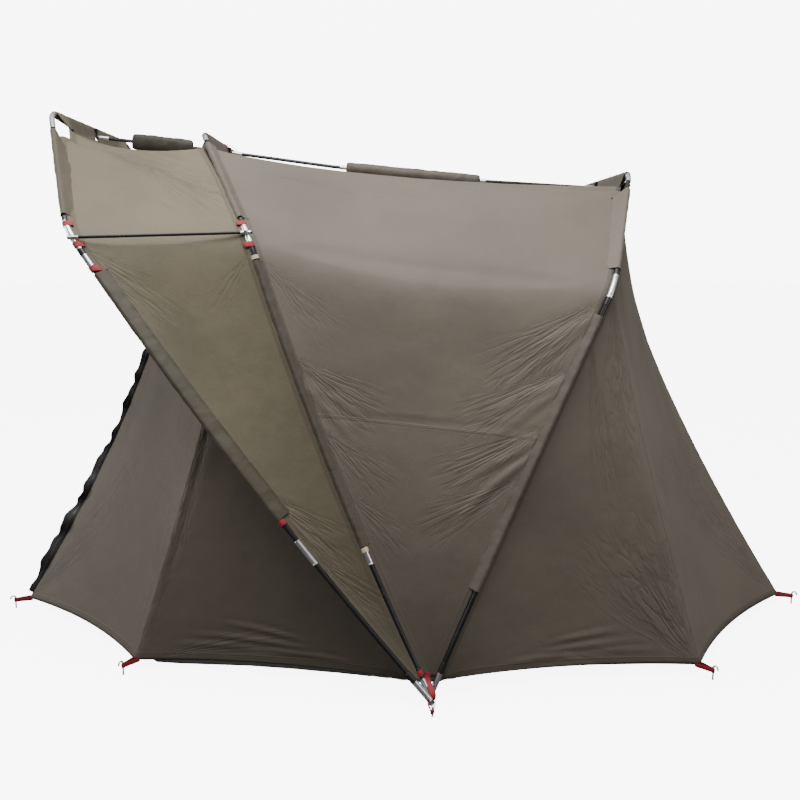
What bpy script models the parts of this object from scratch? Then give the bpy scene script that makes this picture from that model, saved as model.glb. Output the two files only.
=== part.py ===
"""Fishing tent with three pinned ribs, a jutting hood and pegged skirts.

Metres, +Z up. The door faces -X, the tent is symmetric about the XZ plane,
and the origin is the middle of its footprint on the ground.
"""
from math import copysign, cos, pi, radians, sin

import bmesh
import bpy
from mathutils import Vector

# Ribs: all three turn on a pin at each side, the hub
HUB_X = 0.061
HUB_HALF_WIDTH = 1.25
PIN_HEIGHT = 0.018
FOOT_PITCH = 0.022
SHOULDER_HALF_WIDTH = 0.95
CORNER_HALF_WIDTH = 0.49
# shoulder x and z, roof corner x and z, feet outward of the hub's middle, bow of the legs
RIBS = {
    "front": (-1.116, 1.500, -1.300, 1.925, 1, 0.030),
    "middle": (-0.528, 1.476, -0.747, 1.850, 0, 0.026),
    "rear": (0.677, 1.316, 0.828, 1.710, -1, 0.004),
}
SHOULDER_BEND = 0.07
CORNER_BEND = 0.05
FOOT_BELOW_PIN = 0.010

# Steel
POLE_RADIUS = 0.008
POLE_SIDES = 12
PIN_RADIUS = 0.004
PIN_SIDES = 16
PIN_PLAY = 0.00045
PIN_HEAD_RADIUS = 0.009
PIN_HEAD = 0.004
PIN_HALF_LENGTH = FOOT_PITCH + 0.011
RIDGE_BAR_RADIUS = 0.007
# Ridge bars: the ribs they join, how far below each crossbar's centre line they meet it, and their sag
RIDGE_BARS = {
    "front_ridge_bar": ("front", "middle", 0.030, 0.011, 0),
    "rear_ridge_bar": ("middle", "rear", 0.016, 0.019, 0.017),
}
# Where a ridge bar bends to its straight middle run, as parts of its length
RIDGE_BENDS = (0.28, 0.69)
# The upright part of a hooked end beside a crossbar, above and below the crossbar's centre line
RIDGE_HOOK = (0.004, -0.006)
RIDGE_HOOK_LIMIT = 0.012
SIDE_BAR_RADIUS = 0.005
SIDE_BAR_PAST_ELBOW = 0.018
# Where a side bar meets its two ribs, along each from the middle of its elbow
SIDE_BAR_PLACES = {"front": -0.038, "middle": 0.012}
PEG_RADIUS = 0.004
PEG_SIDES = 8
PEG_HEIGHT = 0.034
PEG_HOOK = 0.024
PEG_BEND = 0.008
STRAP_WIDTH = 0.020
STRAP_TIP_WIDTH = 0.014
STRAP_THICKNESS = 0.003
STRAP_PAST_PEG = 0.0068

# Cloth
CLOTH = 0.003
GAP = 0.0003
POLE_CLEARANCE = 0.0005
DOOR_TOP_HALF_WIDTH = 0.32
DOOR_BULGE = 0.045
LEG_LOW = 0.04
LEG_HIGH = 0.955
LEG_STEPS = 8
# How far the canopy is cut back from each rib, and down, just before, at and just after its roof corner
CORNER_CUTS = {
    "front": ((0.012, 0.055), (0.050, 0.065), (0.030, 0)),
    "middle": ((0.005, 0.020), (0.012, 0.045), (0, 0)),
    "rear": ((0, 0.035), (0.020, 0.060), (0, 0)),
}
WALL_CORNER_CUT = 0.030
ACROSS_HOOD = 4
ACROSS_ROOF = 6
DOWN_WALL = 7
# The cloth sags towards this height on the centre plane, and towards this part of its own x
SAG_CENTRE_HEIGHT = 0.75
SAG_CENTRE_PART = 0.6
# Sag of the canopy at the feet, at the roof corners and at the ridge, as parts of its span, and how the hollow
# leans towards its first edge: 1 is even, less is nearer that edge
ROOF_SAGS = (0.03, 0.028, 0.026, 0.8)
HOOD_SAGS = (0.03, 0.09, 0.10, 0.7)
# Sag of an end wall at its side seam and at its middle, its swell out of the door, and its lean towards the rib
FRONT_WALL_SAGS = (0.045, 0.092, DOOR_BULGE, 1)
REAR_WALL_SAGS = (0.04, 0.13, 0, 0.65)
# Where cloth leaves a pole, turned outward of the straight line to the next pole
ROOF_LIFT = radians(-15)
HOOD_LIFT = radians(35)

# Sleeves that hang the roof from the crossbars: outside and bore radius, reach down to the cloth, where each
# half starts and ends beside the middle plane, and how each leans, from level towards the rear
BAR_SLEEVE_RADIUS = 0.0115
BAR_SLEEVE_BORE = 0.0083
BAR_SLEEVE_REACH = 0.045
BAR_SLEEVE_SPAN = (0.030, 0.425)
BAR_SLEEVE_SLANT = 0.060
BAR_SLEEVE_LEAN = {"front": radians(-72), "middle": radians(-70), "rear": radians(-110)}
SLEEVE_TIP = 0.15
WALL_BELOW_BAR = 0.024
# The hood's rear edge, hung in front of the middle crossbar
HOOD_REAR_LEAN = radians(-125)
HOOD_REAR_REACH = 0.060

# Sleeves round the ridge bars: start along the middle run, length, half width, half height
SLEEVE_SIDES = 12
SLEEVE_BORE_RADIUS = 0.0076
FRONT_SLEEVE = (0.010, 0.233, 0.022, 0.028)
REAR_SLEEVE = (0.066, 0.545, 0.024, 0.027)

# Ground plan of the skirts: x, half width and height of each pulled point
HEM_HEIGHT = 0.035
HUB_HEM_HEIGHT = 0.050
FRONT_HEM = ((0.000, 1.185, HUB_HEM_HEIGHT), (-0.949, 0.990, HEM_HEIGHT), (-1.5299, 0.400, HEM_HEIGHT))
REAR_HEM = ((0.122, 1.185, HUB_HEM_HEIGHT), (0.988, 1.060, HEM_HEIGHT), (1.5291, 0.405, HEM_HEIGHT))
HEM_CURVE = 0.045
PEG_PULL = 0.052
FLOOR = 0.003

# Rows of cloth, counted round a rib from the near foot to the far foot
SIDE_SEAM_ROW = 5
SHOULDER_ROW = LEG_STEPS + 1
CORNER_ROW = SHOULDER_ROW + 4
DOOR_ROW = CORNER_ROW + 2
CENTRE_ROW = DOOR_ROW + 2
LAST_ROW = 2 * CENTRE_ROW

SHARP_ANGLE = radians(35)
# Colour, roughness and metallic value
FINISHES = {
    "pole_black": ((0.02, 0.02, 0.022), 0.35, 0.6),
    "steel": ((0.70, 0.71, 0.72), 0.25, 1.0),
    "canopy": ((0.16, 0.14, 0.115), 0.75, 0.0),
    "hood": ((0.19, 0.175, 0.13), 0.75, 0.0),
    "mesh": ((0.012, 0.012, 0.012), 0.9, 0.0),
    "floor": ((0.55, 0.56, 0.54), 0.6, 0.0),
    "strap": ((0.55, 0.03, 0.03), 0.6, 0.0),
}


def material(finish):
    """One Principled material of the given finish."""
    colour, roughness, metallic = FINISHES[finish]
    made = bpy.data.materials.new(finish)
    made.use_nodes = True
    shader = made.node_tree.nodes["Principled BSDF"]
    shader.inputs["Base Color"].default_value = (*colour, 1)
    shader.inputs["Roughness"].default_value = roughness
    shader.inputs["Metallic"].default_value = metallic
    return made


def add_object(name, bm, finish):
    """Turn a bmesh into a named object with its own material."""
    bmesh.ops.recalc_face_normals(bm, faces=bm.faces)
    bmesh.ops.triangulate(bm, faces=bm.faces)
    mesh = bpy.data.meshes.new(name)
    bm.to_mesh(mesh)
    bm.free()
    mesh.shade_smooth()
    mesh.set_sharp_from_angle(angle=SHARP_ANGLE)
    mesh.materials.append(material(finish))
    placed = bpy.data.objects.new(name, mesh)
    bpy.context.collection.objects.link(placed)
    return placed


def add_boolean(target, guide, operation):
    """Cut a guide from a piece, or join it to the piece."""
    guide.hide_render = True
    guide.display_type = "WIRE"
    modifier = target.modifiers.new(guide.name, "BOOLEAN")
    modifier.operation = operation
    modifier.solver = "EXACT"
    modifier.object = guide


def mirrored(point):
    """The same point on the far side."""
    return Vector((point.x, -point.y, point.z))


def sided(points, side):
    """Near-side points as they are, or mirrored for the far side."""
    return points if side == "near" else [mirrored(point) for point in points]


def rounded(before, corner, after, reach):
    """Three points that round off a corner between two straight runs."""
    start = corner + (before - corner).normalized() * reach
    end = corner + (after - corner).normalized() * reach
    return [start, (start + 2 * corner + end) / 4, end]


def leg_point(rib, fraction):
    """A point of a near leg, from the hub pin (0) to the shoulder (1)."""
    shoulder_x, shoulder_z, _, _, place, bow = RIBS[rib]
    foot = Vector((HUB_X, -HUB_HALF_WIDTH - place * FOOT_PITCH, PIN_HEIGHT))
    chord = Vector((shoulder_x, -SHOULDER_HALF_WIDTH, shoulder_z)) - foot
    outward = Vector((-chord.z, 0, chord.x)).normalized()
    return foot + chord * fraction + outward * bow * 4 * fraction * (1 - fraction)


def leg_line(rib):
    """Centre line of a near leg, one point for each row of cloth beside it."""
    step = (LEG_HIGH - LEG_LOW) / LEG_STEPS
    return [leg_point(rib, LEG_LOW + step * row) for row in range(LEG_STEPS + 1)]


def rib_path(rib):
    """Centre line of a rib, row by row, from the near leg over the roof to the far leg."""
    shoulder_x, shoulder_z, corner_x, corner_z, _, _ = RIBS[rib]
    shoulder = Vector((shoulder_x, -SHOULDER_HALF_WIDTH, shoulder_z))
    corner = Vector((corner_x, -CORNER_HALF_WIDTH, corner_z))
    near = leg_line(rib)
    bend = rounded(near[-1], shoulder, corner, SHOULDER_BEND)
    near += bend[1:]
    near.append((bend[2] + corner) / 2)
    near += rounded(shoulder, corner, mirrored(corner), CORNER_BEND)
    near.append(Vector((corner_x, -DOOR_TOP_HALF_WIDTH, corner_z)))
    near.append(Vector((corner_x, -DOOR_TOP_HALF_WIDTH / 2, corner_z)))
    centre = Vector((corner_x, 0, corner_z))
    return near + [centre] + [mirrored(point) for point in reversed(near)]


def circle(centre, across, third, radius, sides):
    """Points round a centre, in the plane of two directions."""
    turns = [2 * pi * side / sides for side in range(sides)]
    return [centre + (across * cos(turn) + third * sin(turn)) * radius for turn in turns]


def lofted(rings, ends="capped"):
    """A skin through rings of points, its ends capped, joined to each other or left open."""
    bm = bmesh.new()
    loops = [[bm.verts.new(point) for point in ring] for ring in rings]
    pairs = list(zip(loops, loops[1:]))
    if ends == "joined":
        pairs.append((loops[-1], loops[0]))
    for lower, upper in pairs:
        for index in range(len(lower)):
            after = (index + 1) % len(lower)
            bm.faces.new((lower[index], lower[after], upper[after], upper[index]))
    if ends == "capped":
        bm.faces.new(loops[0])
        bm.faces.new(loops[-1])
    return bm, loops


def tube(points, radius, sides=POLE_SIDES, before=None, after=None):
    """A round bar along a line of points; its flat ends turn to the points beyond it, if given."""
    first = (points[1] - points[0]).normalized()
    across = Vector((0, 1, 0)) if abs(first.y) < 0.9 else Vector((1, 0, 0))
    line = [before or points[0]] + points + [after or points[-1]]
    rings = []
    for index, point in enumerate(points):
        along = (line[index + 2] - line[index]).normalized()
        across = (across - along * across.dot(along)).normalized()
        rings.append(circle(point, across, along.cross(across), radius, sides))
    return lofted(rings)[0]


def shortened(points, start, end):
    """A line of points with its two ends drawn back."""
    first = points[0] + (points[1] - points[0]).normalized() * start
    final = points[-1] + (points[-2] - points[-1]).normalized() * end
    return [first] + points[1:-1] + [final]


def add_leg(rib, side):
    """A lower leg: a bar from below the hub pin to the elbow, drilled for the pin."""
    line = leg_line(rib)
    pin = leg_point(rib, 0)
    below = pin + (pin - line[0]).normalized() * FOOT_BELOW_PIN
    line = shortened([below] + line, 0, GAP / 2)
    beyond = rib_path(rib)[SHOULDER_ROW]
    bar = tube(sided(line, side), POLE_RADIUS, after=sided([beyond], side)[0])
    leg = add_object(f"{rib}_leg_{side}", bar, "pole_black")
    reach = Vector((0, 2 * POLE_RADIUS, 0))
    hole = tube(sided([pin - reach, pin + reach], side), PIN_RADIUS + PIN_PLAY, PIN_SIDES)
    add_boolean(leg, add_object(f"{leg.name}_hole", hole, "steel"), "DIFFERENCE")


def add_crown(rib):
    """Elbows, upper legs and crossbar of a rib, bent from one bar."""
    path = rib_path(rib)
    line = shortened(path[LEG_STEPS:LAST_ROW - LEG_STEPS + 1], GAP / 2, GAP / 2)
    bar = tube(line, POLE_RADIUS, before=path[LEG_STEPS - 1], after=path[LAST_ROW - LEG_STEPS + 1])
    add_object(f"{rib}_crown", bar, "pole_black")


def add_hub(side):
    """The pin that carries the three feet of one side, with a head at each end."""
    head_end = PIN_HALF_LENGTH + PIN_HEAD
    stations = ((-head_end, PIN_HEAD_RADIUS), (-PIN_HALF_LENGTH, PIN_HEAD_RADIUS), (-PIN_HALF_LENGTH, PIN_RADIUS),
                (PIN_HALF_LENGTH, PIN_RADIUS), (PIN_HALF_LENGTH, PIN_HEAD_RADIUS), (head_end, PIN_HEAD_RADIUS))
    rings = []
    for offset, radius in stations:
        centre = Vector((HUB_X, -HUB_HALF_WIDTH + offset, PIN_HEIGHT))
        ring = circle(centre, Vector((1, 0, 0)), Vector((0, 0, 1)), radius, PIN_SIDES)
        rings.append(sided(ring, side))
    add_object(f"hub_pin_{side}", lofted(rings)[0], "steel")


def hook(centre, towards, drop):
    """The end of a ridge bar at a crossbar: square against it, or turned up beside it where the bar lies lower."""
    if drop < RIDGE_HOOK_LIMIT:
        return [centre + Vector((towards * (POLE_RADIUS + GAP), 0, -drop))]
    aside = towards * (POLE_RADIUS + RIDGE_BAR_RADIUS)
    return [centre + Vector((aside, 0, height)) for height in (*RIDGE_HOOK, -drop)]


def add_ridge_bar(name):
    """A ridge bar between the middles of two crossbars; returns the two ends of its middle run."""
    fore, aft, fore_drop, aft_drop, sag = RIDGE_BARS[name]
    front_end = hook(rib_path(fore)[CENTRE_ROW], 1, fore_drop)
    rear_end = hook(rib_path(aft)[CENTRE_ROW], -1, aft_drop)[::-1]
    run = [front_end[-1].lerp(rear_end[0], part) - Vector((0, 0, sag)) for part in RIDGE_BENDS]
    beyond = Vector((2 * rear_end[0].x - run[1].x, 0, run[1].z)) if len(rear_end) == 1 else None
    add_object(name, tube(front_end + run + rear_end, RIDGE_BAR_RADIUS, after=beyond), "pole_black")
    return run


def lean(angle):
    """A direction in the plane of symmetry, from level towards the rear."""
    return Vector((cos(angle), 0, sin(angle)))


def add_bar_sleeves(rib):
    """Two sleeves of cloth round a crossbar, each thinning to a wing that reaches down to the roof."""
    centre = rib_path(rib)[CENTRE_ROW]
    down = lean(BAR_SLEEVE_LEAN[rib])
    side_way = down.cross(Vector((0, 1, 0)))
    for side in ("near", "far"):
        rings = []
        for place, slant in zip(BAR_SLEEVE_SPAN, (0, BAR_SLEEVE_SLANT)):
            point = Vector((centre.x, -place, centre.z))
            outer = []
            for step in range(SLEEVE_SIDES):
                turn = 2 * pi * step / SLEEVE_SIDES
                along = cos(turn) * (BAR_SLEEVE_REACH if cos(turn) > 0 else BAR_SLEEVE_RADIUS)
                thin = max(1 - max(cos(turn), 0), SLEEVE_TIP)
                slanted = Vector((0, slant * max(cos(turn), 0), 0))
                outer.append(point + down * along + side_way * sin(turn) * BAR_SLEEVE_RADIUS * thin + slanted)
            bore = circle(point, down, side_way, BAR_SLEEVE_BORE, SLEEVE_SIDES)
            rings.append((sided(outer, side), sided(bore, side)))
        (outer, bore), (outer_end, bore_end) = rings
        add_object(f"{rib}_bar_sleeve_{side}", lofted([outer, outer_end, bore_end, bore], "joined")[0], "canopy")


def add_ridge_sleeve(name, bar, sizes):
    """A cloth sleeve of oval section that wraps a ridge bar along part of its length."""
    start, length, half_width, half_height = sizes
    along = (bar[1] - bar[0]).normalized()
    wide = Vector((0, 1, 0))
    up = along.cross(wide)
    near_end = bar[0] + along * start
    far_end = near_end + along * length
    bore = circle(near_end, wide, up, SLEEVE_BORE_RADIUS, SLEEVE_SIDES)
    bore_end = circle(far_end, wide, up, SLEEVE_BORE_RADIUS, SLEEVE_SIDES)
    oval = circle(near_end, wide * half_width, up * half_height, 1, SLEEVE_SIDES)
    oval_end = circle(far_end, wide * half_width, up * half_height, 1, SLEEVE_SIDES)
    add_object(name, lofted([oval, oval_end, bore_end, bore], "joined")[0], "canopy")


def add_side_bar(side):
    """The bar that spreads the front and middle elbows of one side, outside them."""
    reach = POLE_RADIUS + SIDE_BAR_RADIUS + GAP
    ends = []
    for rib, place in SIDE_BAR_PLACES.items():
        path = rib_path(rib)
        row = SHOULDER_ROW + (place > 0)
        along = (path[row] - path[row - 1]).normalized()
        outward = Vector((1, 0, 0)).cross(along).normalized()
        if outward.y > 0:
            outward.negate()
        ends.append(path[SHOULDER_ROW] + along * place + outward * reach)
    line = shortened(ends, -SIDE_BAR_PAST_ELBOW, -SIDE_BAR_PAST_ELBOW)
    add_object(f"side_bar_{side}", tube(sided(line, side), SIDE_BAR_RADIUS), "pole_black")


def pulled_in(start, stop, fraction):
    """A point of a hem between two pulled points, which curves in towards the tent."""
    chord = stop - start
    inward = Vector((-chord.y, chord.x, 0)).normalized()
    if inward.dot(start + stop) > 0:
        inward.negate()
    return start + chord * fraction + inward * HEM_CURVE * 4 * fraction * (1 - fraction)


def hem_line(hem):
    """Where each row of an end wall meets the ground, from the near hub to the far hub."""
    hub, corner, end = (Vector((x, -half, height)) for x, half, height in hem)
    centre = Vector((end.x, 0, end.z))
    near = [pulled_in(hub, corner, row / SHOULDER_ROW) for row in range(SHOULDER_ROW)]
    rows = DOOR_ROW - SHOULDER_ROW
    near += [pulled_in(corner, end, row / rows) for row in range(rows)]
    near += [end, (end + centre) / 2]
    return near + [centre] + [mirrored(point) for point in reversed(near)]


def row_fraction(row, low, high):
    """How far a row lies between two rows, kept between 0 and 1."""
    return min(max((row - low) / (high - low), 0), 1)


def near_row(row):
    """The near-side row that a row mirrors."""
    return min(row, LAST_ROW - row)


def pole_edge(path, row, towards, lift, cut):
    """Where cloth starts beside a pole: clear of it, cut back further at a corner, and lifted by an angle."""
    before = path[max(row - 1, 0)]
    after = path[min(row + 1, LAST_ROW)]
    along = (after - before).normalized()
    heading = towards - path[row]
    heading = (heading - along * heading.dot(along)).normalized()
    outward = along.cross(heading)
    if outward.dot(path[row] - Vector((path[row].x, 0, SAG_CENTRE_HEIGHT))) < 0:
        outward.negate()
    reach = POLE_RADIUS + POLE_CLEARANCE + (CLOTH / 2) * abs(sin(lift))
    if near_row(row) > CORNER_ROW:
        reach = WALL_BELOW_BAR
    return path[row] + (heading * cos(lift) + outward * sin(lift)) * (reach + cut)


def canopy_edge(rib, beside, row, lift):
    """Where a canopy starts at one of its ribs: beside the legs, cut at the corner, hung below the crossbar."""
    path = rib_path(rib)
    towards = rib_path(beside)[row]
    after_corner = near_row(row) - CORNER_ROW
    cut, drop = CORNER_CUTS[rib][after_corner + 1] if abs(after_corner) < 2 else (0, 0)
    if after_corner <= 0:
        return pole_edge(path, row, towards, lift, cut) - Vector((0, 0, drop))
    is_hood_rear = rib == "middle" and beside == "front"
    angle = HOOD_REAR_LEAN if is_hood_rear else BAR_SLEEVE_LEAN[rib]
    hung = path[row] + lean(angle) * (HOOD_REAR_REACH if is_hood_rear else BAR_SLEEVE_REACH + 2 * GAP)
    return hung + Vector((copysign(cut, towards.x - hung.x), 0, 0))


def hollow(part, tilt):
    """The shape of a hollow between two edges: 0 at both, 1 at its deepest; a tilt under 1 leans it to the start."""
    place = part ** tilt
    return 4 * place * (1 - place)


def sagged(start, end, steps, sag, tilt):
    """A row of cloth between two edges, hollowed towards the inside of the tent."""
    chord = end - start
    middle = (start + end) / 2
    inside = Vector((middle.x * SAG_CENTRE_PART, 0, SAG_CENTRE_HEIGHT)) - middle
    inside = (inside - chord * inside.dot(chord) / chord.length_squared).normalized()
    parts = [step / steps for step in range(steps + 1)]
    return [start + chord * part + inside * sag * hollow(part, tilt) for part in parts]


def canopy_rows(fore, aft, steps, fore_lift, aft_lift, sags):
    """Rows of the cloth stretched between two ribs."""
    foot_sag, corner_sag, ridge_sag, tilt = sags
    rows = []
    for row in range(LAST_ROW + 1):
        place = near_row(row)
        up_crown = row_fraction(place, SHOULDER_ROW - 1, CORNER_ROW)
        lifts = [leg_lift + (ROOF_LIFT - leg_lift) * up_crown for leg_lift in (fore_lift, aft_lift)]
        start = canopy_edge(fore, aft, row, lifts[0])
        end = canopy_edge(aft, fore, row, lifts[1])
        sag = foot_sag + (corner_sag - foot_sag) * row_fraction(place, 0, CORNER_ROW) ** 2
        sag += (ridge_sag - corner_sag) * row_fraction(place, CORNER_ROW, CENTRE_ROW)
        rows.append(sagged(start, end, steps, sag * (end - start).length, tilt))
    return rows


def wall_rows(rib, hem, outward, sags):
    """Rows of an end wall, from its rib down to the hem."""
    path = rib_path(rib)
    foot = hem_line(hem)
    seam_sag, middle_sag, bulge, tilt = sags
    rows = []
    for row in range(LAST_ROW + 1):
        place = near_row(row)
        start = pole_edge(path, row, foot[row], 0, WALL_CORNER_CUT if place == CORNER_ROW else 0)
        sag = seam_sag * row_fraction(place, 0, SHOULDER_ROW)
        sag += (middle_sag - seam_sag) * sin(row_fraction(place, SHOULDER_ROW, DOOR_ROW) * pi / 2)
        line = sagged(start, foot[row], DOWN_WALL, sag, tilt)
        swell = bulge * (1 - row_fraction(CENTRE_ROW - place, 0, CENTRE_ROW - DOOR_ROW) ** 2)
        for step, point in enumerate(line):
            point.x += outward * swell * sin(pi * step / DOWN_WALL)
        rows.append(line)
    return rows


def cloth_normals(rows, level_hem):
    """Direction through the cloth at each point of its grid, level at a hem."""
    last_row = len(rows) - 1
    last_step = len(rows[0]) - 1
    normals = []
    for row in range(last_row + 1):
        line = []
        for step in range(last_step + 1):
            around = rows[min(row + 1, last_row)][step] - rows[max(row - 1, 0)][step]
            along = rows[row][min(step + 1, last_step)] - rows[row][max(step - 1, 0)]
            normal = around.cross(along).normalized()
            if level_hem and step == last_step:
                normal = Vector((normal.x, normal.y, 0)).normalized()
            line.append(normal)
        normals.append(line)
    return normals


def add_cloth(name, rows, normals, first, last, finish):
    """One panel: the rows from first to last, given the cloth's thickness, with a gap to its neighbours."""
    rings = []
    for row in range(first, last + 1):
        points = list(rows[row])
        if row in (first, last):
            beside = rows[row + 1] if row == first else rows[row - 1]
            points = [point + (other - point).normalized() * GAP / 2 for point, other in zip(points, beside)]
        offsets = [normal * CLOTH / 2 for normal in normals[row]]
        outer = [point + offset for point, offset in zip(points, offsets)]
        inner = [point - offset for point, offset in zip(points, offsets)]
        rings.append(outer + inner[::-1])
    bm, loops = lofted(rings, "open")
    for loop in (loops[0], loops[-1]):
        for step in range(len(rows[0]) - 1):
            bm.faces.new((loop[step], loop[step + 1], loop[-step - 2], loop[-step - 1]))
    add_object(name, bm, finish)


def add_panels(rows, normals, panels):
    """Panels of one cloth, each with its first and last row; one that stops short of the middle has a twin."""
    for name, first, last, finish in panels:
        if last > CENTRE_ROW:
            add_cloth(name, rows, normals, first, last, finish)
        else:
            add_cloth(f"{name}_near", rows, normals, first, last, finish)
            add_cloth(f"{name}_far", rows, normals, LAST_ROW - last, LAST_ROW - first, finish)


def outward_of(point, normal):
    """A level direction through a hem, turned to point out of the tent."""
    return normal if normal.dot(Vector((point.x, point.y, 0))) > 0 else -normal


def add_floor(walls):
    """The groundsheet: a thin floor with its edge turned up to the hem all round."""
    (front, front_normals), (rear, rear_normals) = walls
    outline = [(row[-1], line[-1]) for row, line in zip(front, front_normals)]
    outline += [(row[-1], line[-1]) for row, line in zip(reversed(rear), reversed(rear_normals))]
    rings = [[], [], [], []]
    for point, normal in outline:
        half = outward_of(point, normal) * CLOTH / 2
        top = point.z - GAP
        corners = ((half, 0), (half, top), (-half, top), (-half, FLOOR))
        for ring, (shift, height) in zip(rings, corners):
            ring.append(Vector((point.x + shift.x, point.y + shift.y, height)))
    add_object("groundsheet", lofted(rings)[0], "floor")


def add_peg(name, anchor, heading, side):
    """A peg's bent head above the ground, and the webbing loop that ties a skirt to it."""
    stake = anchor + heading * PEG_PULL
    across = Vector((-heading.y, heading.x, 0)) / 2
    thick = Vector((0, 0, STRAP_THICKNESS / 2))
    rings = []
    for point, width in ((anchor + heading * GAP, STRAP_WIDTH), (stake + heading * STRAP_PAST_PEG, STRAP_TIP_WIDTH)):
        signs = ((1, 1), (1, -1), (-1, -1), (-1, 1))
        rings.append(sided([point + across * width * wide + thick * high for wide, high in signs], side))
    strap = add_object(name, lofted(rings)[0], "strap")
    foot = Vector((stake.x, stake.y, 0))
    top = foot + Vector((0, 0, PEG_HEIGHT + anchor.z / 2))
    tip = top + heading * PEG_HOOK
    wire = [foot] + rounded(foot, top, tip, PEG_BEND) + [tip]
    bar = tube(sided(wire, side), PEG_RADIUS, PEG_SIDES)
    add_boolean(strap, add_object(f"{name}_wire", bar, "steel"), "UNION")


def add_frame():
    """Ribs, hub pins, side bars, ridge bars and the sleeves round the crossbars and the ridge bars."""
    for rib in RIBS:
        add_crown(rib)
        add_bar_sleeves(rib)
        for side in ("near", "far"):
            add_leg(rib, side)
    for side in ("near", "far"):
        add_hub(side)
        add_side_bar(side)
    add_ridge_sleeve("front_ridge_sleeve", add_ridge_bar("front_ridge_bar"), FRONT_SLEEVE)
    add_ridge_sleeve("rear_ridge_sleeve", add_ridge_bar("rear_ridge_bar"), REAR_SLEEVE)


def add_canopy():
    """The main cloth from the middle rib to the rear rib, and the hood in front of it."""
    roof = canopy_rows("middle", "rear", ACROSS_ROOF, ROOF_LIFT, 0, ROOF_SAGS)
    add_panels(roof, cloth_normals(roof, False), (("main_lower_side", 0, SIDE_SEAM_ROW, "canopy"),
                                                  ("main_upper_side", SIDE_SEAM_ROW, CORNER_ROW, "canopy"),
                                                  ("main_roof", CORNER_ROW, LAST_ROW - CORNER_ROW, "canopy")))
    hood = canopy_rows("front", "middle", ACROSS_HOOD, HOOD_LIFT, HOOD_LIFT, HOOD_SAGS)
    add_panels(hood, cloth_normals(hood, False), (("hood_lower_side", 0, SHOULDER_ROW, "hood"),
                                                  ("hood_upper_side", SHOULDER_ROW, CORNER_ROW, "hood"),
                                                  ("hood_roof", CORNER_ROW, LAST_ROW - CORNER_ROW, "hood")))


def add_walls():
    """The end walls; returns each one's grid with its normals, front first."""
    front = wall_rows("middle", FRONT_HEM, -1, FRONT_WALL_SAGS)
    front_normals = cloth_normals(front, True)
    add_panels(front, front_normals, (("front_side", 0, SHOULDER_ROW, "canopy"),
                                      ("front_panel", SHOULDER_ROW, DOOR_ROW, "canopy"),
                                      ("mesh_door", DOOR_ROW, LAST_ROW - DOOR_ROW, "mesh")))
    rear = wall_rows("rear", REAR_HEM, 1, REAR_WALL_SAGS)
    rear_normals = cloth_normals(rear, True)
    add_panels(rear, rear_normals, (("rear_side", 0, SHOULDER_ROW, "canopy"),
                                    ("rear_panel", SHOULDER_ROW, DOOR_ROW, "canopy"),
                                    ("rear_wall", DOOR_ROW, LAST_ROW - DOOR_ROW, "canopy")))
    return (front, front_normals), (rear, rear_normals)


def add_pegs(walls):
    """A peg and its loop at each pulled point of the hems, and one at each hub pin."""
    for end_name, (rows, normals) in zip(("front", "rear"), walls):
        for place, row in (("corner", SHOULDER_ROW), ("end", DOOR_ROW)):
            outward = outward_of(rows[row][-1], normals[row][-1])
            anchor = rows[row][-1] + outward * CLOTH / 2
            for side in ("near", "far"):
                add_peg(f"{end_name}_{place}_peg_{side}", anchor, outward, side)
    pin_end = Vector((HUB_X, -HUB_HALF_WIDTH - PIN_HALF_LENGTH - PIN_HEAD, PIN_HEIGHT))
    for side in ("near", "far"):
        add_peg(f"hub_peg_{side}", pin_end, Vector((0, -1, 0)), side)


def main():
    """Build the whole tent."""
    for existing in list(bpy.data.objects):
        bpy.data.objects.remove(existing, do_unlink=True)
    add_frame()
    add_canopy()
    walls = add_walls()
    add_floor(walls)
    add_pegs(walls)


main()
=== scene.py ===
"""Looks of the pitched fishing tent: cloth, poles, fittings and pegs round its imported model.

Metres, +Z up. The door faces -X and the camera looks along +Y.
"""
from functools import lru_cache, wraps
from math import copysign, cos, pi, radians, sin

import bmesh
import bpy
import numpy as np
from bpy.props import FloatProperty, FloatVectorProperty, PointerProperty
from mathutils import Matrix, Vector, noise


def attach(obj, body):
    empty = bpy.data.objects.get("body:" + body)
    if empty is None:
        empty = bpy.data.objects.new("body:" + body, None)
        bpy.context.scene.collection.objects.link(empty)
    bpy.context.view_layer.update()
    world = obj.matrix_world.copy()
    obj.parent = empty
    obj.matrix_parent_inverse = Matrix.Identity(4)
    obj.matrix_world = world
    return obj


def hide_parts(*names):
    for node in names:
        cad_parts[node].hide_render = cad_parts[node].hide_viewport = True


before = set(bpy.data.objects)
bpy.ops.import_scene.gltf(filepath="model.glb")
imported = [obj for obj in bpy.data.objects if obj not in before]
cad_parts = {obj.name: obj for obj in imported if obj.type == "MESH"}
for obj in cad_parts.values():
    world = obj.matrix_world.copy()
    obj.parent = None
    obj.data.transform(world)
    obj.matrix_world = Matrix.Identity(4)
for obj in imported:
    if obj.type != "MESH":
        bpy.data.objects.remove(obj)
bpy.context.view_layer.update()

bl_info = {
    "name": "Fishing Tent",
    "version": (1, 0, 0),
    "blender": (4, 5, 0),
    "location": "View3D > Sidebar > Tent",
    "description": "Builds the cloth, fittings and pegs of a pitched fishing tent",
    "category": "Add Mesh",
}

BODY = "root"

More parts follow.
